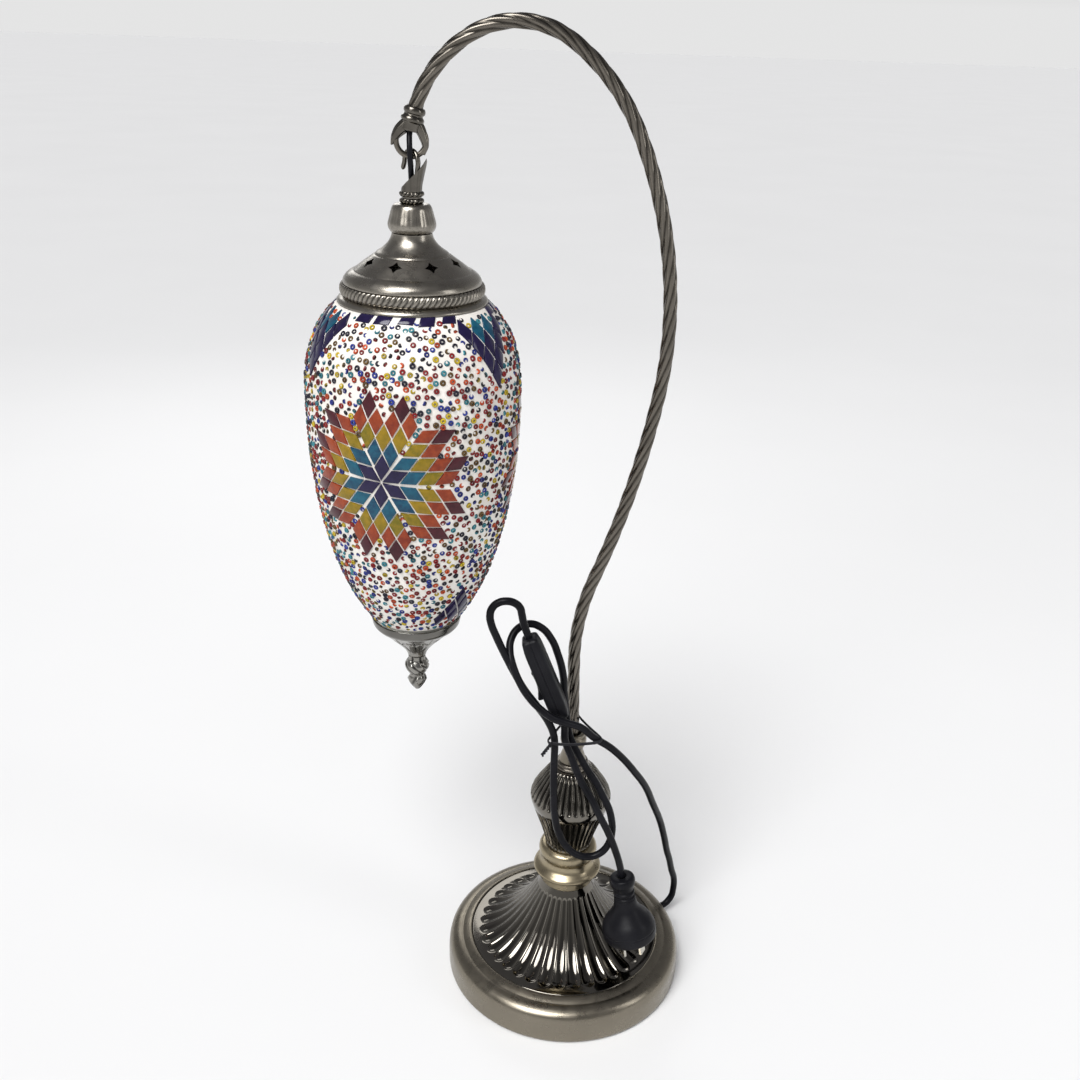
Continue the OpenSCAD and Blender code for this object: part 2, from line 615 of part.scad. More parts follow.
module finial_cup() {
    color([0.50, 0.49, 0.46]) on_shade_axis() turned([
        [2.1, 258], [6, 258], [6.4, 260], [8, 263], [11.5, 267], [16, 271.5], [20.5, 276], [24, 279.6],
        [26.6, 281.2], [28.2, 283.4], [28.8, 286], [29.2, 288], [28.6, cup_rim_z], [27.6, cup_rim_z - 0.2],
        [27.1, 286], [26.4, 284], [25.2, 282.2], [22.6, 280.2], [19.4, 277], [14.8, 272.6],
        [10.2, 268.2], [6.6, 264.8], [2.1, 264]
    ]);
}

module finial() {
    color([0.46, 0.45, 0.42]) on_shade_axis() turned([
        [0, 230.6], [1.6, 231.4], [3.6, 234], [5.8, 237.4], [6.6, 239.6], [6.2, 241.2], [5, 242.6],
        [5.2, 244], [7, 246.4], [8.2, 249.4], [8.1, 251.2], [6.8, 253.4], [5.6, 254.8], [5.4, 256.4],
        [6, 258], [2.05, 258], [2.05, 246], [0, 246]
    ]);
}

module finial_bolt() {
    color([0.70, 0.69, 0.66]) on_shade_axis()
        translate([0, 0, 246.2]) cylinder(r = 2, h = 46, $fn = round_fn);
}

module bolt_washer() {
    color([0.10, 0.10, 0.10]) on_shade_axis() tube(6, 2.05, glass_bottom_z + 4, glass_bottom_z + 5.5);
}

module bolt_nut() {
    color([0.72, 0.70, 0.62]) on_shade_axis() hex_nut(7, 2, glass_bottom_z + 5.5, glass_bottom_z + 9);
}

// ---------------------------------------------------------------- cord, switch and plug

module main_cord() {
    color([0.06, 0.06, 0.07]) swept_tube(main_route, cord_d, 8, [0, 0, 1]);
}

module plug_lead() {
    color([0.06, 0.06, 0.07]) swept_tube(plug_route, cord_d, 8, [0, 1, 0]);
}

// The switch's own frame: +Z along the cord, the rocker on the -X side
module in_switch() {
    translate(switch_at) rotate([0, -switch_lean, 0]) children();
}

switch_w = 17;
switch_t = 12.6;
rocker_l = 21;
rocker_w = 9;
rocker_at = -3;

module rounded_block(x0, x1, half_w, half_l, r) {
    hull() for (y = [-1, 1]) for (z = [-1, 1])
        translate([x0, y * (half_w - r), z * (half_l - r)]) rotate([0, 90, 0])
            cylinder(r = r, h = x1 - x0, $fn = 24);
}

module switch_back() {
    color([0.07, 0.07, 0.08]) in_switch() rounded_block(0, switch_t / 2, switch_w / 2, switch_half, 4);
}

module switch_front() {
    color([0.08, 0.08, 0.09]) in_switch() difference() {
        rounded_block(-switch_t / 2, 0, switch_w / 2, switch_half, 4);
        translate([-switch_t, -rocker_w / 2 - 0.5, rocker_at - rocker_l / 2 - 1.2])
            cube([switch_t - 1, rocker_w + 1, rocker_l + 2.4]);
        translate([-4.2, -switch_w / 2 - 1, rocker_at]) rotate([-90, 0, 0])
            cylinder(r = 0.9, h = switch_w + 2, $fn = 32);
    }
}

module switch_pin() {
    color([0.70, 0.69, 0.66]) in_switch() translate([-4.2, -7, rocker_at]) rotate([-90, 0, 0])
        cylinder(r = 0.85, h = 14, $fn = 32);
}

module switch_rocker() {
    color([0.05, 0.05, 0.06]) in_switch() difference() {
        translate([-4.2, 0, rocker_at]) rotate([0, 7, 0]) translate([4.2, 0, 0]) intersection() {
            translate([-9.5, -rocker_w / 2, -rocker_l / 2]) cube([7, rocker_w, rocker_l]);
            translate([-1, -rocker_w, 0]) rotate([-90, 0, 0]) difference() {
                cylinder(r = 12.5, h = 2 * rocker_w, $fn = round_fn);
                translate([-30.4, 0, -1]) cylinder(r = 22.6, h = 2 * rocker_w + 2, $fn = round_fn);
            }
        }
        translate([-4.2, -switch_w, rocker_at]) rotate([-90, 0, 0])
            cylinder(r = 0.9, h = 2 * switch_w, $fn = 32);
    }
}

// The plug's own frame: origin at the middle of its face, +Z towards the cord
module in_plug() {
    translate(plug_face) rotate([0, plug_tilt, plug_heading]) children();
}

module plug_body() {
    r = plug_d / 2;
    color([0.07, 0.07, 0.08]) in_plug() turned([
        [0, 0], [r - 1, 0], [r - 0.4, 1], [r, 7], [r - 0.3, 8.6], [r - 1.6, 12], [r - 4.6, 16.5],
        [r - 8, 20.5], [r - 10.2, 24], [r - 11.2, 28], [r - 11.4, 31], [0, 31]
    ]);
}

module plug_sleeve() {
    color([0.07, 0.07, 0.08]) in_plug() turned([
        [0, 31], [7.4, 31], [7.4, 32.6], [6.6, 33.2], [6.6, 34.4], [7.4, 35], [7.4, 36.6],
        [6.6, 37.2], [6.6, 38.4], [7.4, 39], [7.6, 41], [8.8, 43.5], [9, 46], [8.4, 48.4],
        [7, plug_len], [0, plug_len]
    ]);
}

pin_l = 17;
pin_gap = 13.7;
module plug_pins() {
    color([0.75, 0.73, 0.66]) in_plug() for (s = [-1, 1])
        rotate([0, 0, 25]) translate([s * pin_gap / 2, 0, 0]) rotate([0, 0, s * 30])
            translate([-0.8, -3.15, -pin_l]) cube([1.6, 6.3, pin_l]);
}

// A wire tie, drawn tight round the arm and the bundled cord, with its ends twisted together
tie_loop = [
    [-15.5, -27.6, 207.4], [-9.5, -29, 207.8], [-2, -29.8, 208.4], [7, -30, 209.4], [13.5, -29.6, 210.2],
    [16.6, -27.4, 210.6], [16.2, -24, 210.6], [12.4, -16.5, 210.2], [8.2, -8, 209.6],
    [4.8, -0.4, 209.2], [3, 4, 209], [-0.6, 5.6, 208.6], [-4.6, 4, 208.2], [-8, -2, 207.6],
    [-11.8, -9.5, 207], [-16.2, -17.5, 206.6], [-18.4, -22.5, 206.6], [-18, -26, 207]
];
module cord_tie() {
    color([0.05, 0.05, 0.05]) swept_tube(concat(tie_loop, [[-20.5, -31.5, 205.5]]), 1.6, 6, [0, 0, 1]);
}

felt_pad();
base_weight();
base_pan();
base_dome();
base_nut();
base_washer();
tie_rod();
cord_grommet();
stem_collar();
stem_knop();
neck_ring();
stem_neck();
arm_socket();
socket_screw();
arm_tube();
tip_ferrule();
tip_claws();
tip_ring();
inner_lead();
hanger_lead();
hanger_hook();
hanger_cuff();
nipple();
top_knob();
shade_cap();
cap_washer();
cap_nut();
cap_gasket();
holder_cap();
holder_shell();
bulb_base();
bulb_glass();
glass_shade();
mosaic_skin();
cup_gasket();
finial_cup();
finial();
finial_bolt();
bolt_washer();
bolt_nut();
main_cord();
plug_lead();
switch_back();
switch_front();
switch_pin();
switch_rocker();
plug_body();
plug_sleeve();
plug_pins();
cord_tie();
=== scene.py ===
"""Looks of the swan-neck mosaic glass table lamp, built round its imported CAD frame."""
import math
import random

import bpy
import bmesh
import numpy as np
from mathutils import Matrix, Vector


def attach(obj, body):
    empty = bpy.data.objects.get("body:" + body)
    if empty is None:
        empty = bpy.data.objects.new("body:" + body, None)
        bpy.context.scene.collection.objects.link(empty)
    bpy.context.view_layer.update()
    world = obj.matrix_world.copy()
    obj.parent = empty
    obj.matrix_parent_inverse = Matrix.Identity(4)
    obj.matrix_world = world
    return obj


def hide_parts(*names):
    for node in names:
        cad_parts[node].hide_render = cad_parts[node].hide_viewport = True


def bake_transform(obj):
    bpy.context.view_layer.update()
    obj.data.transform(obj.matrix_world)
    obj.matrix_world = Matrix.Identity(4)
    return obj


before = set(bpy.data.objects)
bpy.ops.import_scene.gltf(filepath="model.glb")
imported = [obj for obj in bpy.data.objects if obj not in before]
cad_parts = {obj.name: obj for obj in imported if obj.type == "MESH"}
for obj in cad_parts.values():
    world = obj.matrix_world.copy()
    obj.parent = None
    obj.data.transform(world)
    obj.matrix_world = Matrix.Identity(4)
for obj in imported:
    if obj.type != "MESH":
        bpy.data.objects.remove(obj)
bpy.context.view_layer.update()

MM = 0.001
scene = bpy.context.scene
scene.view_settings.view_transform = "Standard"

# ------------------------------------------------------------------ camera
CAM_PLACE = (-0.04738, -0.68004, 0.64450)
CAM_YAW, CAM_PITCH, CAM_ROLL = 0.028545, 0.417801, 0.035538
forward = Vector((math.sin(CAM_YAW) * math.cos(CAM_PITCH),
                  math.cos(CAM_YAW) * math.cos(CAM_PITCH), -math.sin(CAM_PITCH)))
level = Vector((math.cos(CAM_YAW), -math.sin(CAM_YAW), 0))
upright = level.cross(forward)
cam_x = math.cos(CAM_ROLL) * level + math.sin(CAM_ROLL) * upright
cam_y = -math.sin(CAM_ROLL) * level + math.cos(CAM_ROLL) * upright
cam_data = bpy.data.cameras.new("camera")
cam_data.sensor_width = 36
cam_data.lens = 38.947
cam_data.clip_start = 0.02
cam_data.clip_end = 200
camera = bpy.data.objects.new("camera", cam_data)
turn = Matrix((cam_x, cam_y, -forward)).transposed().to_4x4()
camera.matrix_world = Matrix.Translation(CAM_PLACE) @ turn
scene.collection.objects.link(camera)
scene.camera = camera


# ------------------------------------------------------------------ materials
def new_material(name):
    mat = bpy.data.materials.new(name)
    mat.use_nodes = True
    return mat, mat.node_tree, mat.node_tree.nodes["Principled BSDF"]


def add(tree, kind, **values):
    node = tree.nodes.new(kind)
    for key, value in values.items():
        if hasattr(node, key):
            setattr(node, key, value)
        else:
            node.inputs[key.replace("_", " ")].default_value = value
    return node


def link(tree, a, b):
    tree.links.new(a, b)


def noise(tree, scale, detail=3.0, vector=None, rough=0.55):
    node = add(tree, "ShaderNodeTexNoise", Scale=scale, Detail=detail, Roughness=rough)
    if vector is None:
        vector = add(tree, "ShaderNodeTexCoord").outputs["Object"]
    link(tree, vector, node.inputs["Vector"])
    return node.outputs["Fac"]


def remap(tree, value, low, high, out_low, out_high):
    node = add(tree, "ShaderNodeMapRange")
    for key, number in (("From Min", low), ("From Max", high), ("To Min", out_low), ("To Max", out_high)):
        node.inputs[key].default_value = number
    link(tree, value, node.inputs["Value"])
    return node.outputs["Result"]


def blend_colour(tree, factor, a, b):
    node = add(tree, "ShaderNodeMix", data_type="RGBA")
    link(tree, factor, node.inputs["Factor"])
    for socket, colour in (("A", a), ("B", b)):
        target = [s for s in node.inputs if s.name == socket and s.type == "RGBA"][0]
        if isinstance(colour, tuple):
            target.default_value = (*colour, 1)
        else:
            link(tree, colour, target)
    return [s for s in node.outputs if s.type == "RGBA"][0]


def colour_it(tree, shader, factor, a, b):
    """The base colour lies between a and b."""
    link(tree, blend_colour(tree, factor, a, b), shader.inputs["Base Color"])


def gloss_it(tree, shader, scale, detail, low, high):
    """The roughness wanders between low and high."""
    link(tree, remap(tree, noise(tree, scale, detail), 0.3, 0.7, low, high), shader.inputs["Roughness"])


def attribute(tree, name):
    return add(tree, "ShaderNodeAttribute", attribute_name=name).outputs["Fac"]


def bump(tree, shader, height, strength, distance, below=None):
    node = add(tree, "ShaderNodeBump", Strength=strength, Distance=distance)
    link(tree, height, node.inputs["Height"])
    if below is not None:
        link(tree, below, node.inputs["Normal"])
    link(tree, node.outputs["Normal"], shader.inputs["Normal"])
    return node.outputs["Normal"]


def rings_vector(tree, axis_x):
    """Radius, height and a little of the angle round an upright axis: a lathe's brushing."""
    place = add(tree, "ShaderNodeTexCoord").outputs["Object"]
    shift = add(tree, "ShaderNodeVectorMath", operation="SUBTRACT")
    shift.inputs[1].default_value = (axis_x, 0, 0)
    link(tree, place, shift.inputs[0])
    parts = add(tree, "ShaderNodeSeparateXYZ")
    link(tree, shift.outputs[0], parts.inputs[0])
    flat = add(tree, "ShaderNodeCombineXYZ")
    link(tree, parts.outputs["X"], flat.inputs["X"])
    link(tree, parts.outputs["Y"], flat.inputs["Y"])
    radius = add(tree, "ShaderNodeVectorMath", operation="LENGTH")
    link(tree, flat.outputs[0], radius.inputs[0])
    angle = add(tree, "ShaderNodeMath", operation="ARCTAN2")
    link(tree, parts.outputs["Y"], angle.inputs[0])
    link(tree, parts.outputs["X"], angle.inputs[1])
    small = add(tree, "ShaderNodeMath", operation="MULTIPLY")
    small.inputs[1].default_value = 0.0016
    link(tree, angle.outputs[0], small.inputs[0])
    joined = add(tree, "ShaderNodeCombineXYZ")
    link(tree, radius.outputs["Value"], joined.inputs["X"])
    link(tree, small.outputs[0], joined.inputs["Y"])
    link(tree, parts.outputs["Z"], joined.inputs["Z"])
    return joined.outputs[0]


def metal(name, colour, dark, rough, brushed_x=None, recess=False, worn=0.5):
    """An aged plated metal: two tones, smudges in its gloss, brushing, and painted shade darkening its
    recesses.
    """
    mat, tree, shader = new_material(name)
    shader.inputs["Metallic"].default_value = 1
    tone = remap(tree, noise(tree, 45), 0.35, 0.68, 0, worn)
    face = blend_colour(tree, tone, colour, dark)
    if brushed_x is not None:
        streaks = noise(tree, 2600, 2, rings_vector(tree, brushed_x))
        face = blend_colour(tree, remap(tree, streaks, 0.35, 0.75, 0, 0.22), face, dark)
        bump(tree, shader, streaks, 0.12, 0.0002)
    else:
        bump(tree, shader, noise(tree, 900, 3), 0.05, 0.0002)
    # Painted shade: points that lie deep in a recess are darkened towards a sixth of the dark tone.
    if recess:
        depth = remap(tree, attribute(tree, "recess"), 0.15, 0.95, 0, 1)
        face = blend_colour(tree, depth, face, tuple(c * 0.16 for c in dark))
    link(tree, face, shader.inputs["Base Color"])
    gloss_it(tree, shader, 130, 4, rough * 0.8, rough * 1.25)
    return mat


def plastic(name, colour, rough, grain=700.0, height=0.12):
    mat, tree, shader = new_material(name)
    pale = tuple(min(1, c * 1.7 + 0.004) for c in colour)
    colour_it(tree, shader, remap(tree, noise(tree, 35), 0.35, 0.7, 0, 1), colour, pale)
    gloss_it(tree, shader, 160, 4, rough * 0.85, rough * 1.2)
    shader.inputs["Specular IOR Level"].default_value = 0.11
    bump(tree, shader, noise(tree, grain, 4), height, 0.0002)
    return mat


def stained_glass(name, colour, second, rough=0.07, swirl=260.0, rim_shade=False):
    """Pieces of one sheet of coloured glass: each has its own tone, with swirls inside.
    With rim shade on, the parts that lie deep or steep get painted shade, as dark as real glass looks
    there."""
    mat, tree, shader = new_material(name)
    mixed = blend_colour(tree, attribute(tree, "tone"), colour, second)
    streak = remap(tree, noise(tree, swirl, 5, rough=0.65), 0.40, 0.72, 0, 0.5)
    light = tuple(min(1, c * 1.45 + 0.003) for c in second)
    mixed = blend_colour(tree, streak, mixed, light)
    # Painted shade: deep and steep parts are darkened towards a tenth of the colour.
    if rim_shade:
        mixed = blend_colour(tree, attribute(tree, "recess"), mixed, tuple(c * 0.10 for c in colour))
    link(tree, mixed, shader.inputs["Base Color"])
    gloss_it(tree, shader, 500, 3, rough, rough * 2.4)
    shader.inputs["Specular IOR Level"].default_value = 0.32
    bump(tree, shader, noise(tree, 420, 2), 0.1, 0.0003)
    return mat


# Metals made with recess=True get painted shade in the recesses of their pieces.
base_metal = metal("brushed_base", (0.240, 0.215, 0.172), (0.185, 0.165, 0.13), 0.29, brushed_x=0.0,
                   worn=0.3)
cap_metal = metal("brushed_cap", (0.31, 0.287, 0.25), (0.19, 0.175, 0.15), 0.27, brushed_x=-0.107,
                  recess=True, worn=0.45)
brass_metal = metal("antique_brass", (0.37, 0.315, 0.215), (0.24, 0.205, 0.14), 0.30, brushed_x=0.0,
                    worn=0.4)
nickel_metal = metal("black_nickel", (0.185, 0.172, 0.15), (0.12, 0.112, 0.098), 0.085, recess=True,
                     worn=0.3)
bronze_metal = metal("satin_bronze", (0.175, 0.158, 0.135), (0.105, 0.095, 0.08), 0.27, recess=True)
pewter_metal = metal("dark_pewter", (0.15, 0.138, 0.12), (0.075, 0.069, 0.06), 0.20, recess=True, worn=0.7)
aged_metal = metal("aged_nickel", (0.33, 0.32, 0.295), (0.17, 0.163, 0.15), 0.21, recess=True, worn=0.8)
zinc_metal = metal("zinc_plate", (0.55, 0.54, 0.50), (0.42, 0.41, 0.38), 0.35)
iron_metal = metal("cast_iron", (0.10, 0.10, 0.10), (0.05, 0.05, 0.05), 0.6)
pin_metal = metal("nickel_pins", (0.62, 0.60, 0.54), (0.50, 0.48, 0.43), 0.25)
cord_plastic = plastic("cord_pvc", (0.0035, 0.0035, 0.005), 0.30, 500, 0.06)
case_plastic = plastic("moulded_black", (0.0045, 0.0045, 0.006), 0.36, 1500, 0.16)
holder_plastic = plastic("holder_black", (0.010, 0.010, 0.012), 0.45)
seal_rubber = plastic("seal_rubber", (0.50, 0.50, 0.47), 0.6)


def felt_material():
    mat, tree, shader = new_material("black_felt")
    fibres = noise(tree, 1800, 5)
    colour_it(tree, shader, fibres, (0.006, 0.006, 0.007), (0.02, 0.02, 0.022))
    shader.inputs["Roughness"].default_value = 0.95
    shader.inputs["Sheen Weight"].default_value = 0.3
    bump(tree, shader, fibres, 0.6, 0.0006)
    return mat


def grout_material():
    mat, tree, shader = new_material("white_grout")
    stain = remap(tree, noise(tree, 30, 4), 0.35, 0.7, 0, 1)
    colour_it(tree, shader, stain, (0.86, 0.83, 0.78), (0.74, 0.70, 0.65))
    gloss_it(tree, shader, 200, 3, 0.5, 0.8)
    first = bump(tree, shader, noise(tree, 260, 3), 0.5, 0.0008)
    bump(tree, shader, noise(tree, 1500, 3), 0.25, 0.0003, first)
    return mat


def blown_glass(name, colour, rough):
    mat, tree, shader = new_material(name)
    colour_it(tree, shader, noise(tree, 50), colour, tuple(c * 0.93 for c in colour))
    gloss_it(tree, shader, 90, 3, rough, rough * 1.6)
    shader.inputs["Coat Weight"].default_value = 0.4
    shader.inputs["IOR"].default_value = 1.5
    return mat


felt = felt_material()
grout_white = grout_material()
shade_glass = blown_glass("frosted_glass", (0.80, 0.79, 0.75), 0.18)
bulb_opal = blown_glass("opal_bulb", (0.88, 0.87, 0.82), 0.16)
NAVY = stained_glass("glass_navy", (0.009, 0.006, 0.030), (0.014, 0.009, 0.050))
TEAL = stained_glass("glass_teal", (0.005, 0.030, 0.075), (0.008, 0.105, 0.155))
OLIVE = stained_glass("glass_olive", (0.135, 0.115, 0.004), (0.30, 0.17, 0.006))
ORANGE = stained_glass("glass_orange", (0.165, 0.018, 0.006), (0.30, 0.055, 0.012))
MAROON = stained_glass("glass_maroon", (0.030, 0.003, 0.008), (0.070, 0.008, 0.014))


# ------------------------------------------------------------------ mesh helpers
def piece(name, points, faces, material, body="root", slot=None, recess=None, tone=None, sharp=None,
          node=None):
    """A mesh from points in millimetres that rides on a body and may stand for a CAD node."""
    mesh = bpy.data.meshes.new(name)
    mesh.from_pydata((np.asarray(points, float) * MM).tolist(), [], faces)
    bm = bmesh.new()
    bm.from_mesh(mesh)
    bmesh.ops.recalc_face_normals(bm, faces=bm.faces)
    bm.to_mesh(mesh)
    bm.free()
    # The recess attribute carries painted shade for the materials; tone is each piece's own colour
    # variation.
    for title, values in (("recess", recess), ("tone", tone)):
        if values is not None:
            layer = mesh.attributes.new(title, "FLOAT", "POINT")
            layer.data.foreach_set("value", np.asarray(values, np.float32))
    mesh.shade_smooth()
    if sharp is not None:
        mesh.set_sharp_from_angle(angle=math.radians(sharp))
    mesh.materials.append(material)
    obj = bpy.data.objects.new(name, mesh)
    scene.collection.objects.link(obj)
    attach(obj, body)
    if node:
        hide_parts(node)
    return obj


def quads(rows, n, loop=False):
    """Faces between rings of n points. A loop joins the last ring to the first."""
    faces = []
    for i in range(rows if loop else rows - 1):
        j = (i + 1) % rows
        for k in range(n):
            m = (k + 1) % n
            faces.append((i * n + k, i * n + m, j * n + m, j * n + k))
    return faces


STAND_AXIS = Matrix.Identity(4)
SHADE_AXIS = Matrix.Translation((-107, 0, 0))


def divide(outline, step):
    """The same closed outline, with a point at least every step."""
    made = []
    for i, (r0, z0) in enumerate(outline):
        r1, z1 = outline[(i + 1) % len(outline)]
        count = max(1, math.ceil(math.hypot(r1 - r0, z1 - z0) / step))
        made += [(r0 + (r1 - r0) * k / count, z0 + (z1 - z0) * k / count) for k in range(count)]
    return made


def soften(outline, times=2):
    """Cuts the corners of a closed outline, so that every edge gets a small round."""
    for _ in range(times):
        made = []
        for i in range(len(outline)):
            (r0, z0), (r1, z1) = outline[i], outline[(i + 1) % len(outline)]
            made += [(0.78 * r0 + 0.22 * r1, 0.78 * z0 + 0.22 * z1),
                     (0.22 * r0 + 0.78 * r1, 0.22 * z0 + 0.78 * z1)]
        outline = made
    return outline


def lathe(name, outline, material, body="root", slot=None, place=STAND_AXIS, n=144, times=2, shape=None,
          sharp=40, step=None, node=None):
    """A turned solid with a closed outline of (radius, height). shape(radius, height, angle)
    gives a new radius and height, and how deep in a recess the point lies. A step, in
    millimetres, divides the outline finely enough for such a shape."""
    outline = soften(outline, times)
    if step:
        outline = divide(outline, step)
    points, recess = [], []
    for r, z in outline:
        for k in range(n):
            a = 2 * math.pi * k / n
            rr, zz, deep = (r, z, 0.0) if shape is None else shape(r, z, a)
            points.append(place @ Vector((rr * math.cos(a), rr * math.sin(a), zz)))
            recess.append(deep)
    faces = quads(len(outline), n, True)
    return piece(name, points, faces, material, body, slot, recess, sharp=sharp, node=node)


def sweep(centres, section, normal):
    """Points and faces of a closed tube. The section is its number of sides and its radius,
    which is a function of the ring's number and the angle."""
    centres = [Vector(c) for c in centres]
    n, radius = section
    points = []
    side = Vector(normal)
    for i, c in enumerate(centres):
        tangent = (centres[min(i + 1, len(centres) - 1)] - centres[max(i - 1, 0)]).normalized()
        side = (side - side.dot(tangent) * tangent).normalized()
        other = tangent.cross(side)
        for k in range(n):
            a = 2 * math.pi * k / n
            r = radius(i, a)
            points.append(c + r * math.cos(a) * side + r * math.sin(a) * other)
    last = (len(centres) - 1) * n
    return points, quads(len(centres), n) + [tuple(range(n))[::-1], tuple(range(last, last + n))]


def smooth_path(points, step):
    """Points at even steps along a Catmull-Rom curve through the given points."""
    p = [Vector(q) for q in points]
    p = [2 * p[0] - p[1]] + p + [2 * p[-1] - p[-2]]
    fine = []
    for i in range(1, len(p) - 2):
        for k in range(12):
            t = k / 12
            a, b, c, d = p[i - 1], p[i], p[i + 1], p[i + 2]
            fine.append(0.5 * ((2 * b) + (c - a) * t + (2 * a - 5 * b + 4 * c - d) * t * t
                               + (3 * b - a - 3 * c + d) * t ** 3))
    fine.append(p[-2])
    lengths = [0.0]
    for a, b in zip(fine, fine[1:]):
        lengths.append(lengths[-1] + (b - a).length)
    count = max(2, round(lengths[-1] / step))
    made, j = [], 0
    for k in range(count + 1):
        s = lengths[-1] * k / count
        while j < len(lengths) - 2 and lengths[j + 1] < s:
            j += 1
        w = (s - lengths[j]) / max(1e-9, lengths[j + 1] - lengths[j])
        made.append(fine[j].lerp(fine[j + 1], min(1, w)))
    return made


def join(parts):
    """One list of points and faces from several."""
    points, faces = [], []
    for p, f in parts:
        faces += [tuple(i + len(points) for i in face) for face in f]
        points += list(p)
    return points, faces


# ------------------------------------------------------------------ cords
CORD_D = 5.0
SWITCH_TOP = (-33.413, -21, 283.243)
SWITCH_BOTTOM = (-10.187, -21, 225.757)
PLUG_END = (36.026, -34.049, 104.1)
CORD_START = (76.383, 44.1, 8)
MAIN_ROUTE = [
    CORD_START, (79, 45.6, 8), (82.6, 47.7, 8.8), (85.7, 49.5, 11.2), (87.8, 50.7, 14.8),
    (88.5, 51.1, 19), (88.4, 50.6, 30), (84.5, 46, 45), (81.5, 41, 58), (78, 36, 70.5), (73.5, 28, 90),
    (68, 20, 110.5), (60, 8, 134), (51.5, -4, 158), (42.5, -12, 175), (32, -18, 191), (23, -22.5, 202),
    (12, -26, 211.5), (2, -29, 221.5), (-7.5, -32, 226.5), (-15.5, -33, 230), (-24, -33, 236.5),
    (-32.5, -32, 245.5), (-39, -31, 256.5), (-43.5, -27, 266.5), (-45.5, -21.5, 273.5),
    (-44.5, -16, 280), (-40, -11.5, 285), (-33, -8.5, 286.5), (-25.5, -7.5, 283.5), (-18.8, -7, 275.5),
    (-13.5, -7, 263), (-9.5, -8, 247.5), (-8.5, -8, 235.5), (-6.5, -9, 220), (-4, -13, 205.5),
    (-1, -16, 199), (3, -18, 192), (9, -20, 182), (15.5, -22, 172.5), (21, -24, 162), (24.5, -25, 155),
    (27, -26, 146.5), (28, -27, 136.5), (26, -28.5, 127), (20.5, -30, 120), (12.5, -31, 117.5),
    (4, -32, 120), (-3.5, -32, 127), (-9, -32, 138.5), (-12, -32, 151), (-13.5, -31, 169),
    (-14, -29, 183.5), (-14, -26, 194.5), (-14, -23.5, 203.5), (-15, -23, 211.5), (-19, -23, 221.5),
    (-26, -24, 233), (-34.5, -25, 245.5), (-41.5, -25, 258), (-48.5, -25, 272.5), (-54.2, -26, 286),
    (-57.6, -26, 295), (-58.5, -26, 301.5), (-57.2, -26, 306.5), (-53.5, -26, 310.2),
    (-48.5, -26, 311.5), (-43.5, -25.4, 310.2), (-39.8, -24.6, 306.5), (-38.5, -23.6, 301.5),
    (-37.5, -22.5, 296),
    (-35.7, -21.6, 289.5), SWITCH_TOP,
]
PLUG_ROUTE = [
    SWITCH_BOTTOM, (-8, -21, 217), (-7, -21.5, 206), (-2.5, -25, 195), (4, -29, 180),
    (12, -32, 166.5), (18.5, -35, 154), (24.5, -36, 142), (30, -36, 127.5),
    (34, -34.8, 114), PLUG_END,
]


def cord_curve(name, route, diameter, node):
    data = bpy.data.curves.new(name, "CURVE")
    data.dimensions = "3D"
    data.bevel_depth = diameter / 2 * MM
    data.bevel_resolution = 8
    data.resolution_u = 10
    data.use_fill_caps = True
    spline = data.splines.new("BEZIER")
    spline.bezier_points.add(len(route) - 1)
    for point, place in zip(spline.bezier_points, route):
        point.co = Vector(place) * MM
        point.handle_left_type = point.handle_right_type = "AUTO"
    obj = bpy.data.objects.new(name, data)
    scene.collection.objects.link(obj)
    data.materials.append(cord_plastic)
    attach(obj, "root")
    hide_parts(node)
    return obj


main_cord = cord_curve("supply_cord", MAIN_ROUTE, CORD_D, "main_cord")
plug_lead = cord_curve("plug_cord", PLUG_ROUTE, CORD_D, "plug_lead")

# ------------------------------------------------------------------ arm
ARM_START = (0.0, 190.0)
ARM_HEADING = -3.0
ARM_ARCS = [(2080, -1.8), (165, -22), (613, 11.8), (258, 34.5), (115, 29.4), (51, 64.8), (67, 45)]
ARM_R = 4.3
STRANDS = 6
STRAND_PITCH = 84.0


def arm_points(step):
    """Points along the arm's centre line, and its last heading."""
    x, z = ARM_START
    heading = math.radians(ARM_HEADING)
    made = [(x, 0.0, z)]
    for radius, bend in ARM_ARCS:
        total = math.radians(abs(bend)) * radius
        count = max(2, round(total / step))
        change = -math.radians(bend) / count
        chord = 2 * radius * math.sin(abs(change) / 2)
        for _ in range(count):
            heading += change / 2
            x, z = x + chord * math.sin(heading), z + chord * math.cos(heading)
            heading += change / 2
            made.append((x, 0.0, z))
    return made, heading


arm_line, arm_end_heading = arm_points(1.3)
arm_tip = Vector(arm_line[-1])
arm_out = Vector((math.sin(arm_end_heading), 0, math.cos(arm_end_heading)))
arm_s = [0.0]
for a, b in zip(arm_line, arm_line[1:]):
    arm_s.append(arm_s[-1] + (Vector(b) - Vector(a)).length)


def strand_depth(i, angle):
    """0 on a strand's crest and 1 in the groove between two strands."""
    turn_at = angle - 2 * math.pi * arm_s[i] / STRAND_PITCH
    return 1 - abs(math.cos(STRANDS / 2 * turn_at)) ** 0.75


def arm_radius(i, angle):
    fade = min(1, max(0, (arm_s[i] - 6) / 14))
    wobble = 0.06 * math.sin(arm_s[i] * 0.21) + 0.05 * math.sin(arm_s[i] * 0.53 + angle)
    return ARM_R - 0.12 + wobble * 0.5 - 0.85 * fade * strand_depth(i, angle)


ARM_SIDES = 48
arm_mesh = sweep(arm_line, (ARM_SIDES, arm_radius), (0, 1, 0))
# Painted shade in the grooves between the twisted strands.
arm_recess = [strand_depth(i, 2 * math.pi * k / ARM_SIDES)
              for i in range(len(arm_line)) for k in range(ARM_SIDES)]
piece("twisted_arm", *arm_mesh, bronze_metal, "root", "bronze", arm_recess, node="arm_tube")

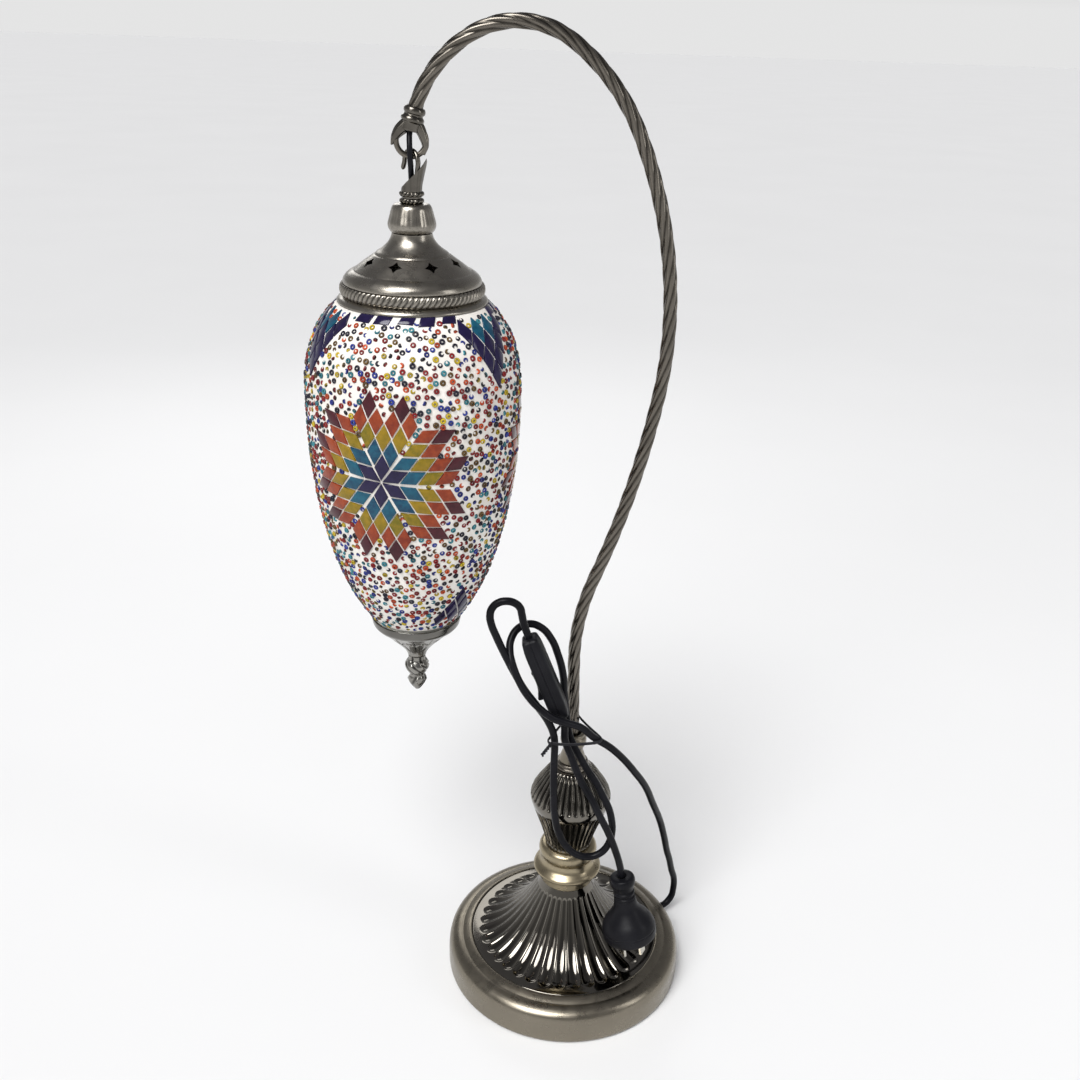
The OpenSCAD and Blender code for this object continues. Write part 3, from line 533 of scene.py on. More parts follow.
# ------------------------------------------------------------------ base and stem
BASE_R = 85.0
pan_outline = [
    (82.5, 0.6), (84.5, 1.4), (85, 3.4), (85, 9), (85, 15), (84.6, 18.8), (83.5, 21.6), (81.6, 23.6),
    (79, 25), (76.4, 25.7), (75, 25.7), (74.2, 26.1), (72.6, 26.9), (70.4, 27.7), (68.9, 28),
    (68.2, 27.6), (68.2, 25.8), (65.5, 25.8), (65.5, 24.6), (73, 25), (78, 23.8), (80.4, 22.8), (82, 21),
    (83.1, 18), (83.8, 14.5), (83.8, 4), (82.5, 2.2),
]
pan = lathe("base_drum", pan_outline, base_metal, slot="antique_brushed", n=192, node="base_pan")

FOOT_R, FOOT_Z, NECK_R, TOP_Z, BELL = 68.0, 27.4, 18.0, 75.5, 2.2
FLUTES = 36


def bell_z(r):
    return FOOT_Z + (TOP_Z - FOOT_Z) * (1 - (r - NECK_R) / (FOOT_R - NECK_R)) ** BELL


def channel(x, s, half, start, end):
    """Depth, 0 to 1, of a round-ended channel of that half width, from start to end along s."""
    along = max(start + half - s, s - (end - half), 0.0)
    q = (x * x + along * along) / (half * half)
    return max(0.0, 1 - q) ** 0.7


def line_length(line):
    return sum(math.hypot(b[0] - a[0], b[1] - a[1]) for a, b in zip(line, line[1:]))


def fluted_skin(profile, count, per, half_share, depth_share, start, end, dark=0.9):
    """Rows of points for a turned surface with round-ended channels, and their recess, which darkens the
    channels as painted shade.
    """
    lengths = [0.0]
    for (r0, z0), (r1, z1) in zip(profile, profile[1:]):
        lengths.append(lengths[-1] + math.hypot(r1 - r0, z1 - z0))
    points, recess = [], []
    n = count * per
    for i, (r, z) in enumerate(profile):
        a, b = profile[max(0, i - 1)], profile[min(len(profile) - 1, i + 1)]
        tr, tz = b[0] - a[0], b[1] - a[1]
        size = math.hypot(tr, tz)
        nr, nz = tz / size, -tr / size
        pitch = 2 * math.pi * r / count
        half = half_share * pitch / 2
        for k in range(n):
            angle = 2 * math.pi * k / n
            x = ((k % per) / per - 0.5) * pitch
            deep = channel(x, lengths[i], half, start, end)
            push = depth_share * half * deep
            rr, zz = r - nr * push, z - nz * push
            points.append((rr * math.cos(angle), rr * math.sin(angle), zz))
            # Painted shade: the deeper part of each channel is darkened, scaled by dark.
            recess.append(min(1.0, max(0.0, deep - 0.35) * dark))
    return points, recess, n


def round_ring(r, z, n):
    return [(r * math.cos(2 * math.pi * k / n), r * math.sin(2 * math.pi * k / n), z) for k in range(n)]


dome_profile = [(FOOT_R, FOOT_Z - 0.5)]
for k in range(97):
    radius = FOOT_R - (FOOT_R - NECK_R) * math.sin(math.pi / 2 * k / 96)
    dome_profile.append((radius, bell_z(radius)))
dome_end = line_length(dome_profile) - 5.2
dome_points, dome_recess, dome_n = fluted_skin(dome_profile, FLUTES, 18, 0.86, 0.30, 6.6, dome_end)
rows = len(dome_profile)
under = [(5.4, 75.45), (5.4, 73.5), (16.4, 73.3), (28, 51.5), (42, 34.5), (56, 27.2), (64, 26),
         (66.8, 25.9)]
for r, z in under:
    dome_points += round_ring(r, z, dome_n)
    dome_recess += [0.0] * dome_n
piece("fluted_dome", dome_points, quads(rows + len(under), dome_n, True), nickel_metal,
      slot="black_nickel", recess=dome_recess, node="base_dome")

collar_outline = [
    (5.2, 75.5), (19, 75.5), (19, 79), (19, 83.8), (20.6, 84.2), (22.6, 84.5), (23.9, 85.3),
    (24.2, 86.5), (23.9, 87.6), (22.8, 88.8), (21.2, 90), (19.8, 91.4), (19, 93.2), (18.75, 95),
    (18.75, 96.5), (19.3, 97), (19.9, 98), (20.5, 99.9), (20.7, 102), (20.4, 104), (19.5, 105.6),
    (18.2, 106.5), (16.8, 106.95), (5.2, 106.95),
]
lathe("stem_spool", collar_outline, brass_metal, slot="antique_brass", n=128, node="stem_collar")


def knop_profile():
    """The urn's outline: a fluted cup, a plain belt and a fluted bulb."""
    keys = [(16, 107.2), (16.6, 109.4), (17.5, 113.2), (18.9, 118.2), (19.7, 120.8), (20.7, 123.8),
            (22.4, 128.6), (24.2, 133.6), (25.9, 138.4), (27.4, 142.8), (28.1, 146), (28.15, 148.6),
            (27.3, 152), (25.0, 156.4), (21.9, 161), (19.3, 165), (16.6, 168.6), (12.6, 171.4),
            (11.2, 171.95)]
    line = smooth_path([(r, 0, z) for r, z in keys], 0.8)
    return [(p.x, p.z) for p in line]


knop_line = knop_profile()
KNOP_FLUTES = 36
BELT = (141.2, 148.6)


def upto(line, z):
    """The length of an outline below a height."""
    return line_length([p for p in line if p[1] < z])


low_points, low_recess, knop_n = fluted_skin(knop_line, KNOP_FLUTES, 14, 0.86, 0.62, 1.2,
                                             upto(knop_line, BELT[0]), 1.5)
high_points, high_recess, knop_n = fluted_skin(knop_line, KNOP_FLUTES, 14, 0.86, 0.62,
                                               upto(knop_line, BELT[1]), line_length(knop_line) - 3, 1.5)
lower_rows = sum(1 for r, z in knop_line if z < sum(BELT) / 2) * knop_n
knop_points = low_points[:lower_rows] + high_points[lower_rows:]
knop_recess = low_recess[:lower_rows] + high_recess[lower_rows:]
for r, z in ((5.2, 171.95), (5.2, 107.2)):
    knop_points += round_ring(r, z, knop_n)
    knop_recess += [0.0] * knop_n
piece("fluted_urn", knop_points, quads(len(knop_line) + 2, knop_n, True), nickel_metal,
      slot="black_nickel", recess=knop_recess, node="stem_knop")

# ------------------------------------------------------------------ shade: cap and knob
knob_outline = [
    (4.05, 532.55), (11.8, 532.55), (12.8, 533.4), (13.7, 535.4), (13.9, 537.2), (13.5, 539),
    (12.7, 541.5), (12.1, 544), (11.4, 546.2), (10.3, 547.8), (8.6, 548.45), (4.05, 548.45),
]


def knob_shape(r, z, angle):
    reach = min(1, max(0, (r - 8) / 3)) * min(1, max(0, (546.8 - z) / 3)) * min(1, max(0, (z - 534.5) / 2))
    wave = 0.5 - 0.5 * math.cos(22 * angle)
    # The third value is painted shade in the flute grooves.
    return r - 0.16 * reach * wave ** 2, z, 0.35 * reach * wave ** 6


lathe("cap_knob", knob_outline, cap_metal, "shade", "bronze", SHADE_AXIS, 176, shape=knob_shape,
      step=1.2, node="top_knob")


def cut(obj, cutters, sharp=35):
    """Takes the cutters' solids out of a piece, and removes the cutters."""
    for cutter in cutters:
        step = obj.modifiers.new("cut", "BOOLEAN")
        step.operation = "DIFFERENCE"
        step.solver = "EXACT"
        step.object = cutter
    bpy.context.view_layer.update()
    done = bpy.data.meshes.new_from_object(obj.evaluated_get(bpy.context.evaluated_depsgraph_get()))
    obj.modifiers.clear()
    obj.data = done
    done.set_sharp_from_angle(angle=math.radians(sharp))
    for cutter in cutters:
        bpy.data.objects.remove(cutter)


def cutter_prism(name, corners, z0, z1, place):
    """A plain prism, used only to cut with."""
    n = len(corners)
    points = [place @ Vector((x, y, z)) * MM for z in (z0, z1) for x, y in corners]
    faces = [tuple(range(n))[::-1], tuple(range(n, 2 * n))]
    faces += [(k, (k + 1) % n, n + (k + 1) % n, n + k) for k in range(n)]
    mesh = bpy.data.meshes.new(name)
    mesh.from_pydata([tuple(p) for p in points], [], faces)
    obj = bpy.data.objects.new(name, mesh)
    scene.collection.objects.link(obj)
    return obj


def turn_about(axis, degrees):
    return Matrix.Rotation(math.radians(degrees), 4, axis)


cap_outline = [
    (4.05, 532.5), (4.05, 531), (10.6, 531), (11.4, 527.8), (13.4, 524.8), (17, 521.6), (20.2, 519.9),
    (21.6, 519), (32.2, 511.2), (34.4, 509.8), (36.8, 508), (38.4, 505.6), (39, 503.6), (39, 497.8),
    (38.9, 496.8), (40.8, 495.6), (42.6, 493.5), (43.9, 493.5), (44, 494.3), (43.2, 495.5), (42, 496.3),
    (40.8, 496.8), (39.9, 497.4), (39.7, 500.5), (39.8, 503.8), (40.2, 504.3), (40.2, 505.4),
    (39.5, 507.2), (37.8, 509.1), (35.4, 510.7), (34, 511.2), (33.3, 511.8), (32.6, 512.3), (28, 515.8),
    (23.2, 519.2), (22.3, 519.9), (21.5, 520.1), (20.7, 521.3), (18, 522.9), (14.5, 526), (12.5, 529),
    (11.7, 531.5), (11.6, 532.5),
]
cap = lathe("shade_cap_spun", cap_outline, cap_metal, "shade", "antique_brushed", SHADE_AXIS, 192)
STAR_REACH = (4.2, 2.2)
STAR = [(STAR_REACH[k % 2] * math.cos(math.radians(45 * k)),
         STAR_REACH[k % 2] * math.sin(math.radians(45 * k))) for k in range(8)]
VENTS, VENT_TURN, VENT_R, VENT_Z, VENT_SLOPE = 8, -61.5, 26.4, 516.8, 36.5
vents = []
for k in range(VENTS):
    spot = (SHADE_AXIS @ turn_about("Z", VENT_TURN + 360 * k / VENTS)
            @ Matrix.Translation((VENT_R, 0, VENT_Z)) @ turn_about("Y", VENT_SLOPE))
    vents.append(cutter_prism("vent_cutter", STAR, -5, 5, spot))
cut(cap, vents)
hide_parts("shade_cap")


def rope_band(name, radius, z, height, depth, lobes, starts, material, body, slot, place):
    """A cord-like ring: slanted lobes on the outside of a band."""
    points, recess = [], []
    across, n = 13, lobes * 8
    for i in range(across + 2):
        f = math.radians(-90 + 180 * min(i, across - 1) / (across - 1))
        for k in range(n):
            a = 2 * math.pi * k / n
            lobe = abs(math.cos((lobes * a - starts * f) / 2)) ** 0.8
            out = depth * math.cos(f) * (0.5 + 0.5 * lobe)
            up = height / 2 * math.sin(f) * (0.88 + 0.12 * lobe)
            if i >= across:
                out, up = -0.15, (height / 2 if i == across else -height / 2) * 0.85
            points.append(place @ Vector(((radius + out) * math.cos(a), (radius + out) * math.sin(a),
                                          z + up)))
            # Painted shade between the lobes, strongest on the band's outer face.
            recess.append((1 - lobe) * (0.4 + 0.6 * math.cos(f)) if i < across else 0)
    return piece(name, points, quads(across + 2, n, True), material, body, slot, recess)


rope_band("cap_rope_band", 40.25, 500.7, 6.8, 2.0, 78, 2.6, cap_metal, "shade", "antique_brushed",
          SHADE_AXIS)

# ------------------------------------------------------------------ shade: cup and finial
cup_outline = [
    (2.1, 258), (6, 258), (6.4, 260), (8, 263), (11.5, 267), (16, 271.5), (20.5, 276), (24, 279.6),
    (26.4, 281.1), (26.9, 281.7), (28.2, 283.2), (28.8, 286), (29.1, 288), (28.6, 288.5), (27.6, 288.3),
    (27.1, 286), (26.4, 284), (25.2, 282.2), (22.6, 280.2), (19.4, 277), (14.8, 272.6), (10.2, 268.2),
    (6.6, 264.8), (2.1, 264),
]
PETALS = 12


def cup_shape(r, z, angle):
    """Petals with narrow seams, and a ragged row of pits where their tips meet."""
    outside = 1 if z < 281.4 and r > 4 + 1.02 * (z - 262.6) else 0
    # Painted shade: the rim's lip, where the glass meets the cup, gets a fixed darkening of 0.55.
    if not outside:
        return r, z, 0.55 if z > 281.6 and r > 26 else 0.0
    along = min(1, max(0, (z - 260) / 3)) * min(1, max(0, (281 - z) / 1.2))
    seam = abs(math.sin(PETALS / 2 * angle)) ** 0.5
    line = max(0.0, 1 - seam / 0.42)
    tip = 272 + 3.2 * abs(math.sin(PETALS / 2 * angle))
    pit = max(0.0, 1 - abs(z - tip) / 1.5) * (0.55 + 0.45 * math.sin(37 * angle + 2 * math.sin(11 * angle)))
    low = 0.45 * max(0.0, math.sin(PETALS * angle + 1.4)) if z < 271 else 0
    deep = min(1.0, max(line, pit, low))
    # The recess value, along * deep, puts painted shade in the seams and pits.
    return r - 0.75 * along * deep, z + 0.5 * along * deep, along * deep


lathe("finial_cup_cast", cup_outline, aged_metal, "shade", "aged_nickel", SHADE_AXIS, 288,
      shape=cup_shape, step=0.8, node="finial_cup")

finial_outline = [
    (0.02, 230.7), (1.6, 231.4), (3.6, 234), (5.6, 237.2), (6.1, 239.4), (5.9, 241.2), (5, 242.6),
    (5.2, 244), (7, 246.4), (8.1, 249.2), (8.1, 251.2), (6.8, 253.4), (5.8, 254.8), (5.6, 256.2),
    (6, 258), (2.05, 258), (2.05, 246), (0.02, 246),
]


def finial_shape(r, z, angle):
    """A fluted neck, a ring of carved leaves and an acorn with lobes."""
    # The third value is painted shade in the flutes, between the leaves and between the lobes.
    if r < 2.2 and z > 240:
        return r, z, 0.0
    if z > 253.6:
        deep = max(0.0, math.cos(6 * angle)) ** 1.5
        return r - 0.7 * deep, z, deep
    if z > 243:
        wave = max(0.0, math.sin(7 * angle + 0.9 * (z - 243)))
        deep = wave ** 2 * min(1, (z - 243) / 2) * min(1, (253.6 - z) / 2)
        return r - 0.75 * deep, z, deep
    deep = max(0.0, math.sin(4 * angle - 0.35 * (z - 230))) ** 2
    nub = max(0.0, math.cos(4 * angle)) ** 8 * max(0.0, 1 - abs(z - 239.3) / 2.2)
    return r * (1 - 0.13 * deep) + 0.5 * nub, z, 0.8 * deep


lathe("finial_cast", finial_outline, aged_metal, "shade", "aged_nickel", SHADE_AXIS, 168,
      shape=finial_shape, step=0.7, node="finial")

# ------------------------------------------------------------------ small turned parts
neck_outline = [
    (5.2, 172), (11, 172), (11.7, 172.5), (11.8, 173.3), (11.3, 174.1), (10.7, 174.5), (11, 175),
    (11.1, 175.8), (10.5, 176.7), (9.8, 177), (5.2, 177),
]
lathe("neck_bead_ring", neck_outline, bronze_metal, slot="bronze", n=96, node="neck_ring")
stem_outline = [
    (5.2, 177), (9.6, 177), (9.1, 178.5), (8.5, 180.3), (7.7, 182.6), (7, 184.8), (6.8, 186), (7, 187),
    (5.2, 187),
]
lathe("neck_cone", stem_outline, base_metal, slot="antique_brushed", n=96, node="stem_neck")
socket_outline = [
    (5.1, 187), (7, 187), (7.4, 188.2), (8.3, 189.8), (8.9, 191.6), (9.1, 193.5), (8.9, 195),
    (8.2, 196.4), (7.6, 196.9), (7.7, 197.9), (7.2, 198.8), (6.4, 199), (4.95, 199), (4.95, 190),
    (5.1, 189),
]
lathe("arm_socket_turned", socket_outline, base_metal, slot="antique_brushed", n=96, node="arm_socket")

ARM_END = Matrix.Translation(arm_tip) @ turn_about("Y", math.degrees(arm_end_heading))
ferrule_outline = [
    (4.5, -2.5), (5, -2.5), (5.8, -1.7), (6.2, -0.5), (6, 0.7), (5.3, 1.5), (5.25, 2.1), (5.9, 2.7),
    (6.5, 3.6), (6.6, 4.4), (6.2, 5.3), (5.5, 5.9), (5.3, 7), (5.1, 9), (5, 10.5), (2.4, 10.5),
    (2.4, 0.35), (4.5, 0.35),
]
lathe("arm_end_ferrule", ferrule_outline, pewter_metal, slot="aged_nickel", place=ARM_END, n=96,
      node="tip_ferrule")

# ------------------------------------------------------------------ ring, claws, hook and cuff
PIVOT_Z, RING_R, RING_WIRE = 573.5, 8.3, 1.6


# The ring is open at the top, under the claws: it runs from one angle to the other
RING_FROM, RING_TO, RING_STEPS = 149.5, 390.5, 64
ring_line = []
for k in range(RING_STEPS + 1):
    a = math.radians(RING_FROM + (RING_TO - RING_FROM) * k / RING_STEPS)
    ring_line.append((-107 + RING_R * math.cos(a), 0, PIVOT_Z + RING_R + RING_R * math.sin(a)))
ring_points, ring_faces = sweep(ring_line, (20, lambda i, angle: RING_WIRE), (0, 1, 0))
piece("hanging_ring", ring_points, ring_faces, bronze_metal, slot="bronze", sharp=50, node="tip_ring")


def quill(keys, sides=28, step=0.45):
    """A leaf-like claw: a tapered round sweep with a raised rib, as points and faces."""
    line = smooth_path([(x, 0, z) for x, z, r in keys], step)
    count = len(line) - 1
    sizes = [r for x, z, r in keys]

    def radius(i, angle):
        t = i / count * (len(sizes) - 1)
        k = min(int(t), len(sizes) - 2)
        r = sizes[k] + (sizes[k + 1] - sizes[k]) * (t - k)
        return r * (1 - 0.12 * (0.5 + 0.5 * math.cos(6 * angle)) ** 2)
    return sweep(line, (sides, radius), (0, 1, 0))


left_keys = [(1.2, 592.4, 3.6), (-2.6, 590.2, 3.9), (-6.2, 587.2, 3.4), (-8.9, 583.6, 2.3),
             (-10.9, 579.4, 0.5)]
right_keys = [(2.6, 591.6, 3.3), (4.9, 588.2, 3.0), (6.7, 584.2, 2.5), (7.9, 579.6, 1.9), (7.2, 574.4, 0.5)]
claw_points, claw_faces = join([quill(left_keys), quill(right_keys)])
claw_points = [SHADE_AXIS @ Vector(p) for p in claw_points]
piece("ring_claws", claw_points, claw_faces, pewter_metal, slot="antique_brushed", sharp=50,
      node="tip_claws")

HOOK_R, HOOK_WIRE, HOOK_TURN = 6.5, 1.4, -50
HOOK_Z = PIVOT_Z + RING_WIRE + 0.4 - (HOOK_R - HOOK_WIRE)
CUFF_FLOOR = 555.5
HOOK_PLACE = SHADE_AXIS @ turn_about("Z", HOOK_TURN)
hook_line = [(3.4, 0, CUFF_FLOOR + 0.2), (4.6, 0, HOOK_Z - 9.5), (5.9, 0, HOOK_Z - 3.4)]
hook_line += [(HOOK_R * math.cos(math.radians(a)), 0, HOOK_Z + HOOK_R * math.sin(math.radians(a)))
              for a in range(0, 181, 15)]
hook_line += [(-7.3, 0, HOOK_Z - 2), (-8.5, 0, HOOK_Z - 4.6)]
hook_path = smooth_path(hook_line, 0.6)


def hook_radius(i, angle):
    left = len(hook_path) - 1 - i
    return HOOK_WIRE * (0.985 if left > 2 else (0.35, 0.72, 0.92)[left])


hook_points, hook_faces = sweep(hook_path, (24, hook_radius), (0, 1, 0))
piece("shade_hook", [HOOK_PLACE @ Vector(p) for p in hook_points], hook_faces, pewter_metal, "shade",
      "aged_nickel", node="hanger_hook")

CUFF_PLACE = SHADE_AXIS @ turn_about("Z", -18)
CUFF_LOW, CUFF_RISE = 555.6, 17.4
CUFF_KEYS = [(552.6, 5.9), (555, 5.9), (558, 6.1), (562, 6.9), (567, 8.1), (573, 9.3)]


def cuff_r(z):
    return float(np.interp(z, [key[0] for key in CUFF_KEYS], [key[1] for key in CUFF_KEYS]))


def cuff_quill():
    """A flaring sleeve cut on the slant: drawn out to a point on one side, low on the other."""
    points, recess = [], []
    n, levels = 96, 26
    for wall in (0, 1):
        order = range(levels) if wall == 0 else range(levels - 1, -1, -1)
        for i in order:
            for k in range(n):
                a = 2 * math.pi * k / n
                away = min(a, 2 * math.pi - a) / math.pi
                low = 552.0 if wall == 0 else 555.8
                top = CUFF_LOW + CUFF_RISE * (1 - away) ** 1.75
                z = low + (max(top, low + 0.3) - low) * i / (levels - 1)
                rib = 0.5 + 0.5 * math.cos(10 * a)
                thick = 1.0 * min(1, 0.25 + (levels - 1 - i) / 6)
                r = cuff_r(z) - (thick if wall else 0.14 * rib ** 2)
                points.append(CUFF_PLACE @ Vector((r * math.cos(a), r * math.sin(a), z)))
                # Painted shade: the inner wall is darkened, and the grooves between the ribs a little.
                recess.append(0.7 if wall else 0.35 * rib ** 3)
    return points, quads(2 * levels, n, True), recess


quill_points, quill_faces, quill_recess = cuff_quill()
piece("hanger_quill", quill_points, quill_faces, pewter_metal, "shade", "antique_brushed", quill_recess,
      sharp=55, node="hanger_cuff")
foot_outline = [
    (4.2, 548.5), (5.4, 548.5), (5.6, 549.4), (5.4, 551.4), (5.5, 552.4), (5.8, 555.6), (3.2, 555.6),
    (3.2, 551.5), (4.2, 551.4),
]
lathe("hanger_cuff_core", foot_outline, pewter_metal, "shade", "antique_brushed", CUFF_PLACE, 96)
rope_band("hanger_bead_low", 5.4, 549.9, 2.9, 1.6, 16, 1.6, pewter_metal, "shade", "antique_brushed",
          CUFF_PLACE)
rope_band("hanger_bead_high", 5.5, 553.6, 3.0, 1.6, 16, 1.6, pewter_metal, "shade", "antique_brushed",
          CUFF_PLACE)

lead_top = arm_tip + 9.2 * arm_out
LEAD_ROUTE = [
    tuple(lead_top), (-107.8, -1, 584.5), (-107.6, -3.2, 580.5), (-107.4, -4.6, 576.5),
    (-107.2, -4.7, 572.5), (-107, -3.9, 568.5), (-107, -2.4, 564.5), (-107, -0.8, 560.5),
    (-107, 0, CUFF_FLOOR),
]
lead_path = smooth_path(LEAD_ROUTE, 0.7)
middle = next(i for i, p in enumerate(lead_path) if p.z < 574.2)
SLIM = 1.6
for title, part, ends in (
        ("hanger_lead_upper", lead_path[:middle + 1], ("root", "lead", (-107, 0, 586), (-107, 0, 576))),
        ("hanger_lead_lower", lead_path[middle:], ("lead", "shade", (-107, 0, 572), (-107, 0, 561)))):
    tube_points, tube_faces = sweep(part, (20, lambda i, angle: SLIM), (1, 0, 0))
    lead_piece = piece(title, tube_points, tube_faces, cord_plastic, ends[0], "cord_pvc", sharp=60)
    lead_piece.parent = None
    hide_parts("hanger_lead")
    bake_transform(lead_piece)

# ------------------------------------------------------------------ mosaic
BELLY_Z, SHADE_R, TOP_H, TOP_P, LOW_H, LOW_P = 436.0, 65.0, 74.0, 2.6, 163.0, 2.05
SKIN_LOW, SKIN_HIGH = 289.0, 493.1


def drop_r(z, shrink=0.0):
    """The drop's radius at a height, or that of a surface a little inside it."""
    if z > BELLY_Z:
        return (SHADE_R - shrink) * math.sqrt(1 - ((z - BELLY_Z) / (TOP_H - shrink / 2)) ** TOP_P)
    return (SHADE_R - shrink) * math.sqrt(1 - ((BELLY_Z - z) / (LOW_H - shrink)) ** LOW_P)


RIM_Z = 494.0
MERIDIAN = [SKIN_LOW + 0.25 * i for i in range(int((RIM_Z - SKIN_LOW) / 0.25) + 1)]
MERIDIAN_S = [0.0]
for low, high in zip(MERIDIAN, MERIDIAN[1:]):
    MERIDIAN_S.append(MERIDIAN_S[-1] + math.hypot(drop_r(high) - drop_r(low), high - low))


def along_meridian(z, distance):
    """The height that lies that far up the surface from z."""
    s = float(np.interp(z, MERIDIAN, MERIDIAN_S)) + distance
    return float(np.interp(s, MERIDIAN_S, MERIDIAN))


def surface(azimuth, z, inward=0.0):
    """A point of the drop, and its outward normal. Azimuth 0 faces the front."""
    a = math.radians(azimuth)
    slope = (drop_r(z + 0.05) - drop_r(z - 0.05)) / 0.1
    size = math.hypot(1, slope)
    normal = Vector((math.sin(a) / size, -math.cos(a) / size, -slope / size))
    r = drop_r(z)
    place = Vector((-107 + r * math.sin(a), -r * math.cos(a), z))
    return place - inward * normal, normal


def on_drop(azimuth, z, u, v):
    """Azimuth and height of the point u to the right of and v above another, over the surface."""
    height = along_meridian(z, v)
    return azimuth + math.degrees(u / drop_r(height)), min(height, RIM_Z - 0.2)


grout_outline = [(drop_r(z) - 1.15, z) for z in np.linspace(SKIN_LOW, SKIN_HIGH, 110)]
grout_outline += [(drop_r(z, 2) + 0.15, z) for z in np.linspace(SKIN_HIGH, SKIN_LOW, 60)]
lathe("mosaic_grout", grout_outline, grout_white, "shade", "mosaic", SHADE_AXIS, 180, times=0, sharp=60,
      node="mosaic_skin")

dice = random.Random(48)
TILE_PITCH, TILE_GAP = 10.2, 0.95
tiles = {"navy": [], "teal": [], "olive": [], "orange": [], "maroon": []}
tile_centres = []


def add_tile(colour, corners, blue=0.0):
    """A flat chip of glass with bevelled edges. Corners are (azimuth, height)."""
    places = [surface(a, z)[0] for a, z in corners]
    middle_place = sum(places, Vector()) / len(places)
    azimuth = sum(a for a, z in corners) / len(corners)
    height = sum(z for a, z in corners) / len(corners)
    normal = surface(azimuth, height)[1]
    lift = -0.32 - dice.uniform(0, 0.12)
    centre = surface(azimuth, height)[0] + lift * normal
    flat = [p - (p - centre).dot(normal) * normal for p in places]
    flat = [p + 0.22 * Vector((dice.uniform(-1, 1), dice.uniform(-1, 1),
                               dice.uniform(-1, 1))) for p in flat]
    rings_of = []
    for share, drop in ((1.0, 1.5), (1.0, 0.3), (0.975, 0.08), (0.93, 0.0)):
        rings_of += [centre + share * (p - centre) - drop * normal for p in flat]
    n = len(flat)
    faces = quads(4, n) + [tuple(range(n))[::-1], tuple(range(3 * n, 4 * n))]
    tiles[colour].append((rings_of, faces, min(1.0, blue + dice.uniform(0, 0.55))))
    tile_centres.append((middle_place, [Vector(p) for p in flat], normal))


def lattice_tile(azimuth, z, turn, i, j, colour, blue=0.0):
    """Tile (i, j) of a diamond lattice whose axis is turned that far from straight up."""
    e1 = (math.sin(math.radians(turn + 28)), math.cos(math.radians(turn + 28)))
    e2 = (math.sin(math.radians(turn - 28)), math.cos(math.radians(turn - 28)))
    inset = TILE_GAP / 2 / TILE_PITCH / math.sin(math.radians(56))
    corners = []
    for p, q in ((inset, inset), (1 - inset, inset), (1 - inset, 1 - inset), (inset, 1 - inset)):
        u = TILE_PITCH * ((i + p) * e1[0] + (j + q) * e2[0])
        v = TILE_PITCH * ((i + p) * e1[1] + (j + q) * e2[1])
        corners.append(on_drop(azimuth, z, u, v))
    if min(z for a, z in corners) > SKIN_LOW + 0.4:
        add_tile(colour, corners, blue)


ROSETTE_AT = ((-12.5, 403.0), (109.0, 403.5), (230.0, 402.5))
ROSETTE = (((0, 0), "navy"), ((1, 0), "teal"), ((0, 1), "teal"), ((2, 0), "olive"), ((1, 1), "olive"),
           ((0, 2), "olive"), ((3, 0), "orange"), ((2, 1), "orange"), ((1, 2), "orange"),
           ((0, 3), "orange"),
           ((3, 1), "maroon"), ((1, 3), "maroon"))
for azimuth, z in ROSETTE_AT:
    for sector in range(6):
        for (i, j), colour in ROSETTE:
            lattice_tile(azimuth, z, -(-4.5 + 60 * sector), i, j, colour)

NECK_AT = ((54.5, 452.5), (-62.5, 454.0), (175.5, 453.0))
for azimuth, z in NECK_AT:
    for row in range(4):
        for j in range(row + 1):
            inner = row == 3 and j in (1, 2)
            lattice_tile(azimuth, z, 0, row - j, j, "teal" if inner else "navy", 0.0)

CUP_AT = ((43.5, 325.5), (163.5, 326.0), (-76.5, 325.0))
for azimuth, z in CUP_AT:
    for row in range(3):
        for j in range(row + 1):
            lattice_tile(azimuth, z, 180, row - j, j, "navy")

RIM_CHIPS = 24
for k in range(RIM_CHIPS):
    a = 360 * (k + 0.1 * dice.uniform(-1, 1)) / RIM_CHIPS
    if min(abs((a - azimuth + 180) % 360 - 180) for azimuth, z in NECK_AT) < 17:
        continue
    half = math.degrees(dice.uniform(4.1, 5.0) / 48)
    lean = math.degrees(0.9 / 48)
    low = dice.uniform(489.8, 491.2)
    add_tile("navy", [(a - half - lean, low + dice.uniform(-0.4, 0.4)), (a + half - lean, low),
                      (a + half + lean, 493.8), (a - half + lean, 493.8)])

GLASS = {"navy": NAVY, "teal": TEAL, "olive": OLIVE, "orange": ORANGE, "maroon": MAROON}


def gathered(name, parts, material, sharp=None, recess=()):
    """Many small solids as one piece. Each has its own tone."""
    points, faces, tone = [], [], []
    for p, f, t in parts:
        faces += [tuple(i + len(points) for i in face) for face in f]
        points += list(p)
        tone += [t] * len(p)
    deep = list(recess) * len(parts) if recess else None
    return piece(name, points, faces, material, "shade", "mosaic", recess=deep, tone=tone, sharp=sharp)


for colour, parts in tiles.items():
    gathered(f"chips_{colour}", parts, GLASS[colour], sharp=50)

